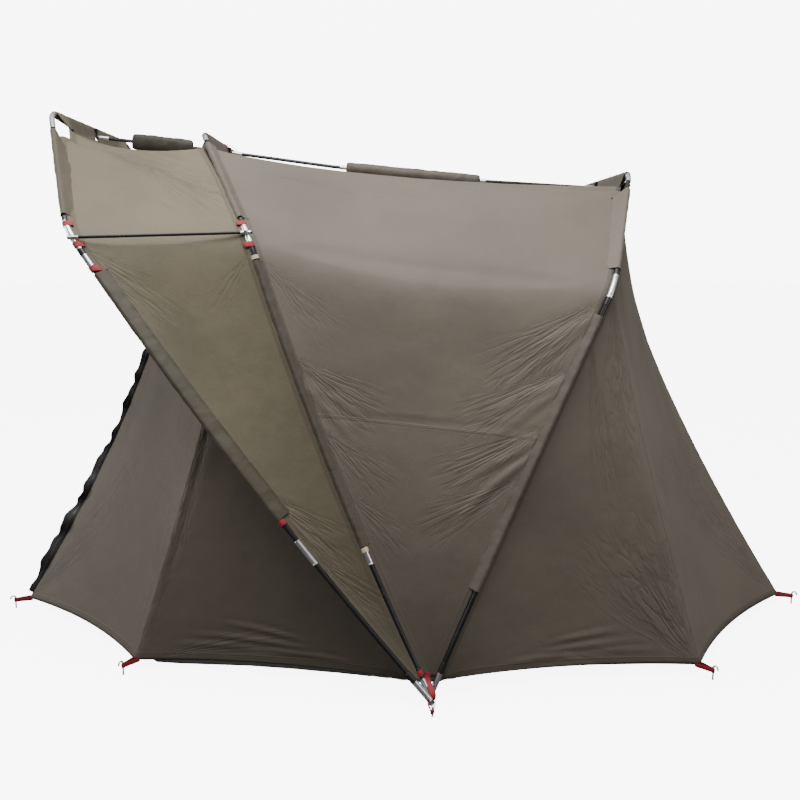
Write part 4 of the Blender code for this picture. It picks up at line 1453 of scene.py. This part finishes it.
class TENT_OT_main_canopy(bpy.types.Operator):
    """The main cloth from the middle rib to the rear rib"""

    bl_idname = "tent.main_canopy"
    bl_label = "Main canopy"

    def execute(self, context):
        folds = []
        for place, later in zip(both_sides(main_point), (0, MAIN_FAR_SEED)):
            folds += fans(place, MAIN_FANS, later)
            folds += streaks(place, *MAIN_STREAKS, MAIN_STREAK_SEED + later)
            folds += creases(place, SEAM_LINE, *SEAM_FOLD)
        piece, flat, area = sheet_piece("main_canopy", main_point, (0, LAST_ROW), canopy_cloth(),
                                        folds, seed=2, seams=(SEAM_ROW, CORNER_ROW),
                                        bursts=MAIN_BURSTS)
        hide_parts(*near_far("main_lower_side", "main_upper_side"), "main_roof")
        return {"FINISHED"}


class TENT_OT_hood(bpy.types.Operator):
    """The hood between the front rib and the middle rib"""

    bl_idname = "tent.hood"
    bl_label = "Hood"

    def execute(self, context):
        folds = []
        for place, later in zip(both_sides(hood_point), (0, HOOD_FAR_SEED)):
            folds += creases(place, HOOD_CREASES, *HOOD_FOLD)
            folds += fans(place, HOOD_FANS, later)
        piece, flat, area = sheet_piece("hood_canopy", hood_point, (0, LAST_ROW), hood_cloth(),
                                        folds, seed=3, cell=CREASED_CELL, seams=(SHOULDER_ROW, CORNER_ROW),
                                        bursts=HOOD_BURSTS)
        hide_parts(*near_far("hood_lower_side", "hood_upper_side"), "hood_roof")
        return {"FINISHED"}


class TENT_OT_front_wall(bpy.types.Operator):
    """The cloth of the front wall on both sides of the door"""

    bl_idname = "tent.front_wall"
    bl_label = "Front wall"

    def execute(self, context):
        cloth = wall_cloth("front")
        stretches = ((0, DOOR_ROW), (LAST_ROW - DOOR_ROW, LAST_ROW))
        for side, place, rows in zip(("near", "far"), both_sides(front_point), stretches):
            folds = creases(place, PANEL_CREASES, *PLEAT_FOLD) + creases(place, HEM_CREASES, *FRONT_HEM_FOLD)
            folds += fans(place, FRONT_FANS)
            piece, flat, area = sheet_piece(f"front_wall_{side}", front_point, rows, cloth,
                                            folds, seed=4, cell=CREASED_CELL, seams=(SHOULDER_ROW,),
                                            bursts=FRONT_BURSTS)
            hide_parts(f"front_side_{side}", f"front_panel_{side}")
        return {"FINISHED"}


class TENT_OT_mesh_door(bpy.types.Operator):
    """The mesh door"""

    bl_idname = "tent.mesh_door"
    bl_label = "Mesh door"

    def execute(self, context):
        rows = (DOOR_ROW, LAST_ROW - DOOR_ROW)
        door, flat, area = sheet_piece("door_mesh", front_point, rows, mesh_material(),
                                       ripple=(5.0, 0.008), seed=5)
        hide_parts("mesh_door")
        return {"FINISHED"}


class TENT_OT_rear_wall(bpy.types.Operator):
    """The cloth of the rear wall"""

    bl_idname = "tent.rear_wall"
    bl_label = "Rear wall"

    def execute(self, context):
        folds = []
        for place in both_sides(rear_point):
            folds += fans(place, REAR_FANS) + creases(place, HEM_CREASES, *REAR_HEM_FOLD)
        piece, flat, area = sheet_piece("rear_wall_cloth", rear_point, (0, LAST_ROW), wall_cloth("rear"),
                                        folds, seed=6, cell=REAR_CELL,
                                        seams=(SHOULDER_ROW, DOOR_ROW), bursts=REAR_BURSTS)
        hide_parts(*near_far("rear_side", "rear_panel"), "rear_wall")
        return {"FINISHED"}


def teardrop(wings, slants, back):
    """A ring's shape for a sleeve: round at the pole, thinning to a flat wing with slanting ends."""
    def shape(co, part):
        if co.x <= 0:
            return Vector((co.x * back, co.y * back, 0))
        wing = wings[0] + (wings[1] - wings[0]) * part
        slant = slants[0] * (1 - part) ** 3 - slants[1] * part ** 3
        return Vector((co.x * wing, co.y * back * max(1 - co.x, 0.12), co.x * slant))
    return shape


def sleeve_frames(rib, start, end, point_of, edge):
    """Frames along a rib whose first axis points at the cloth that the sleeve belongs to."""
    count = max(round((end - start) / 0.008), 4)
    frames = []
    for index in range(count + 1):
        row = row_at(rib, start + (end - start) * index / count)
        here = near_rib_point(rib, row)
        along = near_rib_point(rib, row + 0.02) - near_rib_point(rib, row - 0.02)
        frames.append(station(here, along, point_of(row, edge) - here, 1.0, 1.0))
    return frames


def hollow_ends(bm, sides, depth):
    """Sink the two end faces of each swept piece, so that its wall shows."""
    for face in [face for face in bm.faces if len(face.verts) == sides]:
        bmesh.ops.inset_region(bm, faces=[face], thickness=0.0012, use_even_offset=True)
        bmesh.ops.inset_region(bm, faces=[face], thickness=0.0002, depth=-depth, use_even_offset=True)


def foot_run(rib, start, end):
    """Points along a foot between two distances from the hub pin."""
    length = (leg_point(rib, 1) - leg_point(rib, 0)).length
    return [leg_point(rib, (start + (end - start) * step / 4) / length) for step in range(5)]


class TENT_OT_pole_sleeves(bpy.types.Operator):
    """Cloth sleeves round the legs, the upper legs and the crossbars"""

    bl_idname = "tent.pole_sleeves"
    bl_label = "Pole sleeves"

    def execute(self, context):
        surfaces = {"front": (hood_point, 0), "middle": (main_point, 0), "rear": (main_point, 1)}
        for seed, (rib, stretches) in enumerate(SLEEVES.items(), 1):
            for name, stretch in stretches.items():
                piece = self.add_sleeves(rib, name, *surfaces[rib], stretch, seed)
                if name == "bar":
                    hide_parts(*near_far(f"{rib}_bar_sleeve"))
        return {"FINISHED"}

    def add_sleeves(self, rib, name, point_of, edge, stretch, seed):
        """The near and far sleeves of one stretch of a rib, with wings that reach for the cloth beside it."""
        start, end, wings, slants = stretch
        bm = bmesh.new()
        aim = edge if name == "bar" else abs(edge - SLEEVE_AIM)
        frames = sleeve_frames(rib, start, end, point_of, aim)
        sweep(bm, frames, SLEEVE_SIDES, shape=teardrop(wings, slants, sizes().sleeve))
        add_far_side(bm)
        bmesh.ops.recalc_face_normals(bm, faces=bm.faces)
        crumple(bm, *SLEEVE_FOLDS, seed)
        hollow_ends(bm, SLEEVE_SIDES, SLEEVE_OPEN)
        lay_cut(bm, 2 * max(wings))
        # Painted shade: each stretch of sleeve gets its own darkened copy of the cloth.
        cloth = sleeve_cloth(rib, SLEEVE_SHADES[name, rib])
        piece = finish_piece(f"{rib}_{name}_sleeves", bm, cloth, SEWN_ANGLE)
        finish_soft_edge(piece)
        return piece


def finish_soft_edge(piece):
    """Round a swept cloth piece once more."""
    modifier = piece.modifiers.new("rounding", "SUBSURF")
    modifier.levels = 1
    modifier.render_levels = 1


def rib_way(rib, distance):
    """At a distance from a rib's shoulder: its row, its point and the way on."""
    row = row_at(rib, distance)
    here = near_rib_point(rib, row)
    return row, here, (near_rib_point(rib, row + 0.02) - here).normalized()


def ridge_bar_line(name):
    """The bends of a ridge bar's centre line, from its front end to its rear end."""
    fore, aft, fore_drop, aft_drop, sag = RIDGE_BARS[name]
    ends = []
    for rib, drop, way in ((fore, fore_drop, 1), (aft, aft_drop, -1)):
        reach = POLE_RADIUS + (RIDGE_BAR_RADIUS if drop > RIDGE_HOOK_LIMIT else 0)
        ends.append(CORNERS[rib]["centre"] + Vector((way * reach, 0, -drop)))
    return [ends[0]] + [ends[0].lerp(ends[1], part) - Vector((0, 0, sag)) for part in RIDGE_BENDS] + [ends[1]]


def along_bar(line, distance):
    """A point at a distance along a line of points."""
    for start, end in zip(line, line[1:]):
        length = (end - start).length
        if distance <= length:
            break
        distance -= length
    return start + (end - start) * distance / length


def bar_ends(name):
    """The middle of the front end and of the rear end of a straight bar of the frame."""
    points = {vert.co.copy().freeze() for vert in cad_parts[name].data.vertices}
    middle = sum((point.x for point in points)) / len(points)
    ends = [[point for point in points if (point.x > middle) == at_rear] for at_rear in (False, True)]
    return [sum(end, Vector()) / len(end) for end in ends]


class TENT_OT_ridge_sleeves(bpy.types.Operator):
    """The flat pocket on the front ridge bar and the rolled sleeve on the rear one"""

    bl_idname = "tent.ridge_sleeves"
    bl_label = "Ridge sleeves"

    def execute(self, context):
        for name, cloth in (("front", pocket_cloth()), ("rear", sleeve_cloth("rear", RIDGE_SLEEVE_TONE))):
            offset, length, wide, tall = RIDGE_SLEEVES[name]
            _, start, end, _ = ridge_bar_line(name)
            along = (end - start).normalized()
            count = round(length / 0.006)
            frames = []
            for step in range(count + 1):
                place = start + along * (offset + length * step / count)
                pinch = 1 - RIDGE_SLEEVE_PINCH * (1 - sin(pi * step / count)) ** 3
                frames.append(station(place, along, Vector((0, 1, 0)), wide * pinch, tall * pinch))
            bm = bmesh.new()
            sweep(bm, frames, SLEEVE_SIDES, shape=lapped)
            crumple(bm, *RIDGE_SLEEVE_FOLDS, len(name))
            hollow_ends(bm, SLEEVE_SIDES, RIDGE_SLEEVE_OPEN)
            lay_cut(bm, 4 * tall)
            piece = finish_piece(f"{name}_ridge_pocket", bm, cloth, SEWN_ANGLE)
            finish_soft_edge(piece)
            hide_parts(f"{name}_ridge_sleeve")
        return {"FINISHED"}


def lapped(co, part):
    """A ring's shape for wrapped cloth: flat sides, with the lap of its closing edge low on the near side."""
    lap = 0.05 * max(1 - abs(co.y + 0.75) * 5, 0) * (co.x < 0)
    return Vector((co.x * (0.86 + lap), co.y * (0.94 - 0.06 * abs(co.x)), 0))


class TENT_OT_fittings(bpy.types.Operator):
    """Bright ferrules, elbows and feet, black poles, clamps and pale rings"""

    bl_idname = "tent.fittings"
    bl_label = "Pole fittings"

    def execute(self, context):
        for name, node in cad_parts.items():
            if any(word in name for word in ("hub_pin", "side_bar", "_crown", "_ridge_bar", "_leg_")):
                for slot in node.material_slots:
                    slot.material = bright_steel() if name.startswith("hub_pin") else black_pole()
        for rib in RIBS:
            self.add_rib_steel(rib)
            self.add_rib_clamps(rib)
        self.add_bar_steel()
        self.add_pale_rings()
        return {"FINISHED"}

    def add_rib_steel(self, rib):
        """The beaded collars, corner elbows, feet and rivets of a rib."""
        bm = bmesh.new()
        for start, end, radius in BRIGHT_RUNS[rib]:
            add_collar(bm, rib_run(rib, start, end), radius)
            for place in (start, end):
                bead = rib_run(rib, place - BEAD_HALF, place + BEAD_HALF, BEAD_HALF)
                add_collar(bm, bead, radius + BEAD_HEIGHT)
        add_collar(bm, rib_run(rib, *CORNER_ELBOW[rib]), CORNER_RADIUS)
        add_collar(bm, foot_run(rib, FOOT_START, FOOT_LENGTHS[rib]), FOOT_RADIUS)
        for place in ELBOW_BOLTS:
            _, here, along = rib_way(rib, place)
            side = along.cross(Vector((1, 0, 0))).normalized()
            side = side if side.y < 0 else -side
            add_button(bm, here + side * BOLT_REACH, side, BOLT_RADIUS, BOLT_HEIGHT)
        add_far_side(bm)
        finish_piece(f"{rib}_rib_steel", bm, bright_steel(), HARD_ANGLE)

    def add_rib_clamps(self, rib):
        """The black collars and boots of a rib, and the clamp at the middle of its crossbar."""
        bm = bmesh.new()
        for start, end, radius in DARK_RUNS[rib]:
            add_collar(bm, rib_run(rib, start, end), radius)
        boot = foot_run(rib, FOOT_LENGTHS[rib] + BOOT_GAP, FOOT_LENGTHS[rib] + BOOT_END)
        add_collar(bm, boot, BOOT_RADIUS)
        add_far_side(bm)
        centre = CORNERS[rib]["centre"]
        clamp = [centre + Vector((0, place, 0)) for place in (-CLAMP_HALF, 0, CLAMP_HALF)]
        add_collar(bm, clamp, CLAMP_RADIUS)
        finish_piece(f"{rib}_rib_clamps", bm, dark_plastic(), HARD_ANGLE)

    def add_bar_steel(self):
        """Ferrules on the side bars and the ridge bars, and the thumb screws."""
        bm = bmesh.new()
        start, end = bar_ends("side_bar_near")
        along = (end - start).normalized()
        for place in (start + along * FERRULE_INSET, end - along * (FERRULE_INSET + FERRULE_LENGTH)):
            ferrule = [place + along * FERRULE_LENGTH * part for part in (0, 0.5, 1)]
            add_collar(bm, ferrule, SIDE_FERRULE_RADIUS)
        screw = end - along * (FERRULE_INSET + FERRULE_LENGTH / 2) - Vector((0, SCREW_DEPTH, 0))
        add_button(bm, screw, Vector((0, -1, 0)), SCREW_RADIUS, SCREW_HEIGHT)
        add_far_side(bm)
        for name, places in BAR_FERRULES.items():
            line = ridge_bar_line(name)
            for first, last in places:
                ferrule = [along_bar(line, place) for place in (first, (first + last) / 2, last)]
                add_collar(bm, ferrule, RIDGE_FERRULE_RADIUS)
        finish_piece("bar_steel", bm, bright_steel(), HARD_ANGLE)

    def add_pale_rings(self):
        """The knobs and rings that end the sleeves of the middle legs."""
        bm = bmesh.new()
        add_collar(bm, rib_run("middle", *PALE_KNOB), KNOB_RADIUS)
        add_collar(bm, rib_run("middle", *PALE_RING), PALE_RING_RADIUS)
        add_far_side(bm)
        finish_piece("sleeve_end_rings", bm, pale_plastic(), HARD_ANGLE)


class TENT_OT_webbing(bpy.types.Operator):
    """Red webbing rings round the poles, with the tabs and straps that tie the cloth to them"""

    bl_idname = "tent.webbing"
    bl_label = "Webbing rings"

    def execute(self, context):
        for rib, edge in (("front", 0), ("middle", 1)):
            self.add_rings(rib, edge)
        self.add_hub_straps()
        self.add_ridge_tie()
        return {"FINISHED"}

    def add_rings(self, rib, edge):
        """The rings of a rib, each with a tab to the hood beside it."""
        bm = bmesh.new()
        for place, reach in RED_RINGS[rib]:
            ring = rib_run(rib, place - RING_HALF, place + RING_HALF, RING_HALF / 2)
            add_collar(bm, ring, RING_RADIUS)
            row, here, along = rib_way(rib, place)
            cloth = [hood_point(row, abs(edge - part)) for part in (TAB_START, reach)]
            lift = (cloth[0] - here).cross(along).normalized()
            lift = lift if lift.y < 0 else -lift
            route = [place + lift * height for place, height in zip((here, *cloth), TAB_LIFTS)]
            add_ribbon(bm, curved(route, 8), lambda part, along=along: along, TAB_WIDTHS)
        add_far_side(bm)
        finish_webbing(f"{rib}_webbing", bm, RING_GIRTH)

    def add_hub_straps(self):
        """The straps from the main cloth's hem down to the hub pins."""
        bm = bmesh.new()
        route = beside(main_point(0, STRAP_HEM_PART), STRAP_FROM_HEM)
        route += beside(leg_point("middle", 0), STRAP_FROM_HUB)
        add_ribbon(bm, curved(route, 14), lambda part: Vector((1, 0, 0)), STRAP_WIDTH)
        add_far_side(bm)
        finish_webbing("hub_webbing", bm, STRAP_GIRTH)

    def add_ridge_tie(self):
        """The ring and the short strap beside the middle of the middle crossbar."""
        bm = bmesh.new()
        centre = CORNERS["middle"]["centre"]
        add_collar(bm, beside(centre, TIE_RING), TIE_RING_RADIUS)
        add_ribbon(bm, curved(beside(centre, TIE_ROUTE), 8), lambda part: Vector((0, 1, 0)), STRAP_WIDTH)
        finish_webbing("ridge_webbing", bm, RING_GIRTH)


def beside(place, offsets):
    """The points that lie beside a place by a few offsets."""
    return [place + Vector(offset) for offset in offsets]


def finish_webbing(name, bm, girth):
    """Lay the pattern of a piece of webbing and finish it."""
    lay_cut(bm, girth)
    return finish_piece(name, bm, webbing_material(), HARD_ANGLE)


class TENT_OT_zips(bpy.types.Operator):
    """Zips and their wavy flaps along the two edges of the mesh door"""

    bl_idname = "tent.zips"
    bl_label = "Door zips"

    def execute(self, context):
        bm = bmesh.new()
        line = [front_point(DOOR_ROW, part) for part in np.linspace(*DOOR_EDGE_RUN, DOOR_EDGE_STEPS)]
        slow, quick, sway = DOOR_EDGE_WAVES
        frames = []
        for index, place in enumerate(line):
            part = index / (len(line) - 1)
            wave = noise.noise(Vector((part * slow, 0.3, 0)))
            wave += 0.6 * noise.noise(Vector((part * quick, 2.3, 0)))
            half = (DOOR_EDGE + DOOR_EDGE_GAIN * part) * (1 + 0.7 * wave)
            outward = Vector((-1, 1.1 * noise.noise(Vector((part * sway, 5.1, 0))), 0)).normalized()
            along = line[min(index + 1, len(line) - 1)] - line[max(index - 1, 0)]
            frames.append(station(place + outward * (half - 0.006), along, outward, half, 0.0016))
        sweep(bm, frames, 12)
        add_far_side(bm)
        lay_cut(bm, DOOR_EDGE_GIRTH)
        finish_piece("door_zips", bm, zip_material(), HARD_ANGLE)
        return {"FINISHED"}


class TENT_OT_pegs(bpy.types.Operator):
    """Steel wire pegs with their red webbing loops"""

    bl_idname = "tent.pegs"
    bl_label = "Pegs"

    def execute(self, context):
        for name in [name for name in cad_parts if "_peg_" in name and name.endswith("_near")]:
            anchor, heading = self.anchor_of(name)
            for side, mirror in (("near", 1), ("far", -1)):
                node = name.replace("_near", f"_{side}")
                strap = bmesh.new()
                self.add_loop(strap, anchor, heading)
                wire = bmesh.new()
                self.add_wire(wire, anchor, heading)
                for bm in (strap, wire):
                    bmesh.ops.scale(bm, vec=(1, mirror, 1), verts=bm.verts)
                piece = finish_webbing(f"{node}_loop", strap, STRAP_GIRTH)
                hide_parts(node)
                piece = finish_piece(f"{node}_wire", wire, bright_steel(), HARD_ANGLE)
                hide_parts(node)
        return {"FINISHED"}

    def anchor_of(self, name):
        """Where a near peg's loop is sewn on, and the way that it pulls."""
        if name.startswith("hub"):
            return Vector((HUB_X, -HUB_HALF_WIDTH - FOOT_PITCH - 0.015, PIN_HEIGHT)), Vector((0, -1, 0))
        point_of = front_point if name.startswith("front") else rear_point
        row = SHOULDER_ROW if "corner" in name else DOOR_ROW
        before, here, after = (point_of(row + shift, 1) for shift in (-0.5, 0, 0.5))
        heading = (after - before).normalized().cross(Vector((0, 0, 1)))
        heading = Vector((heading.x, heading.y, 0)).normalized()
        if heading.dot(Vector((here.x, here.y, 0))) < 0:
            heading.negate()
        return here, heading

    def add_loop(self, bm, anchor, heading):
        """Two plies of webbing from the hem to the wire and round it."""
        aside = Vector((-heading.y, heading.x, 0))
        stake = anchor + heading * PEG_PULL
        out = [anchor + aside * LOOP_SEWN - heading * LOOP_SEWN, anchor + aside * 0.011 + heading * 0.004,
               stake + aside * WIRE_GRIP - heading * LOOP_SEWN]
        turns = [stake + (aside * cos(turn) + heading * sin(turn)) * WIRE_GRIP for turn in (0, pi / 2, pi)]
        back = [stake - aside * WIRE_GRIP - heading * LOOP_SEWN, anchor - aside * 0.011 + heading * 0.004,
                anchor - aside * LOOP_SEWN - heading * LOOP_SEWN]
        route = out + turns + back
        add_ribbon(bm, curved(route, 40), lambda part: Vector((0, 0, 1)), LOOP_WIDTH)

    def add_wire(self, bm, anchor, heading):
        """A wire stake with its hooked head."""
        foot = anchor + heading * PEG_PULL
        foot.z = WIRE_FOOT
        top = foot + Vector((0, 0, PEG_HEIGHT + anchor.z / 2))
        line = [foot, foot.lerp(top, 0.4), foot.lerp(top, 0.8)]
        for turn in np.linspace(0, pi * 1.12, 12):
            line.append(top + (heading * (1 - cos(turn)) + Vector((0, 0, sin(turn) - 1))) * WIRE_BEND)
        add_collar(bm, line, sizes().wire, 0.0008, 12)


class TENT_OT_groundsheet(bpy.types.Operator):
    """The groundsheet, with its edge turned up to the hems"""

    bl_idname = "tent.groundsheet"
    bl_label = "Groundsheet"

    def execute(self, context):
        piece, flat, area = sheet_piece("ground_cloth", floor_point, (0, LAST_ROW), groundsheet_cloth(),
                                        ripple=(7.0, 0.0009), seed=7, cell=FLOOR_CELL)
        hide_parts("groundsheet")
        return {"FINISHED"}


def floor_point(row, part):
    """A point of the groundsheet: part 0 at the front, 1 at the rear, a little inside the hems."""
    start = hem_point(FRONT_HEM, row)
    end = hem_point(REAR_HEM, row)
    width = (end - start).length
    from_edge = min(part, 1 - part) * width
    from_foot = 2.0 * min(row, LAST_ROW - row) / SHOULDER_ROW
    rise = max(1 - from_edge / FLOOR_TURN_UP, 1 - from_foot / FLOOR_TURN_UP, 0)
    inward = FLOOR_TURN_UP * 0.25 * (1 - rise)
    place = start.lerp(end, part + (inward if part < 0.5 else -inward) / width * (rise > 0))
    inset = float(np.interp(place.x, (-0.3, 0.3), FLOOR_WIDTHS))
    top = (start.z + (end.z - start.z) * part) - 0.004
    return Vector((place.x * FLOOR_LENGTH, place.y * inset, FLOOR_LEVEL + (top - FLOOR_LEVEL) * rise ** 0.8))


class TENT_PT_panel(bpy.types.Panel):
    """The tent's steps and values"""

    bl_label = "Fishing Tent"
    bl_idname = "TENT_PT_panel"
    bl_space_type = "VIEW_3D"
    bl_region_type = "UI"
    bl_category = "Tent"

    def draw(self, context):
        for operator in OPERATORS:
            self.layout.operator(operator.bl_idname)
        for group in (context.scene.tent_sizes, context.scene.tent_colours):
            for name in group.__annotations__:
                self.layout.prop(group, name)


OPERATORS = (
    TENT_OT_stage, TENT_OT_main_canopy, TENT_OT_hood, TENT_OT_front_wall, TENT_OT_mesh_door,
    TENT_OT_rear_wall, TENT_OT_groundsheet, TENT_OT_zips, TENT_OT_pole_sleeves, TENT_OT_ridge_sleeves,
    TENT_OT_fittings, TENT_OT_webbing, TENT_OT_pegs,
)
CLASSES = (TentSizes, TentColours, *OPERATORS, TENT_PT_panel)


def register():
    """Add the tent's classes and values to Blender."""
    for each in CLASSES:
        bpy.utils.register_class(each)
    bpy.types.Scene.tent_sizes = PointerProperty(type=TentSizes)
    bpy.types.Scene.tent_colours = PointerProperty(type=TentColours)


def unregister():
    """Take the tent's classes and values out of Blender."""
    del bpy.types.Scene.tent_colours
    del bpy.types.Scene.tent_sizes
    for each in reversed(CLASSES):
        bpy.utils.unregister_class(each)


def main():
    """Build every piece, in order."""
    register()
    for operator in OPERATORS:
        group, name = operator.bl_idname.split(".")
        getattr(getattr(bpy.ops, group), name)()


if __name__ == "__main__":
    main()
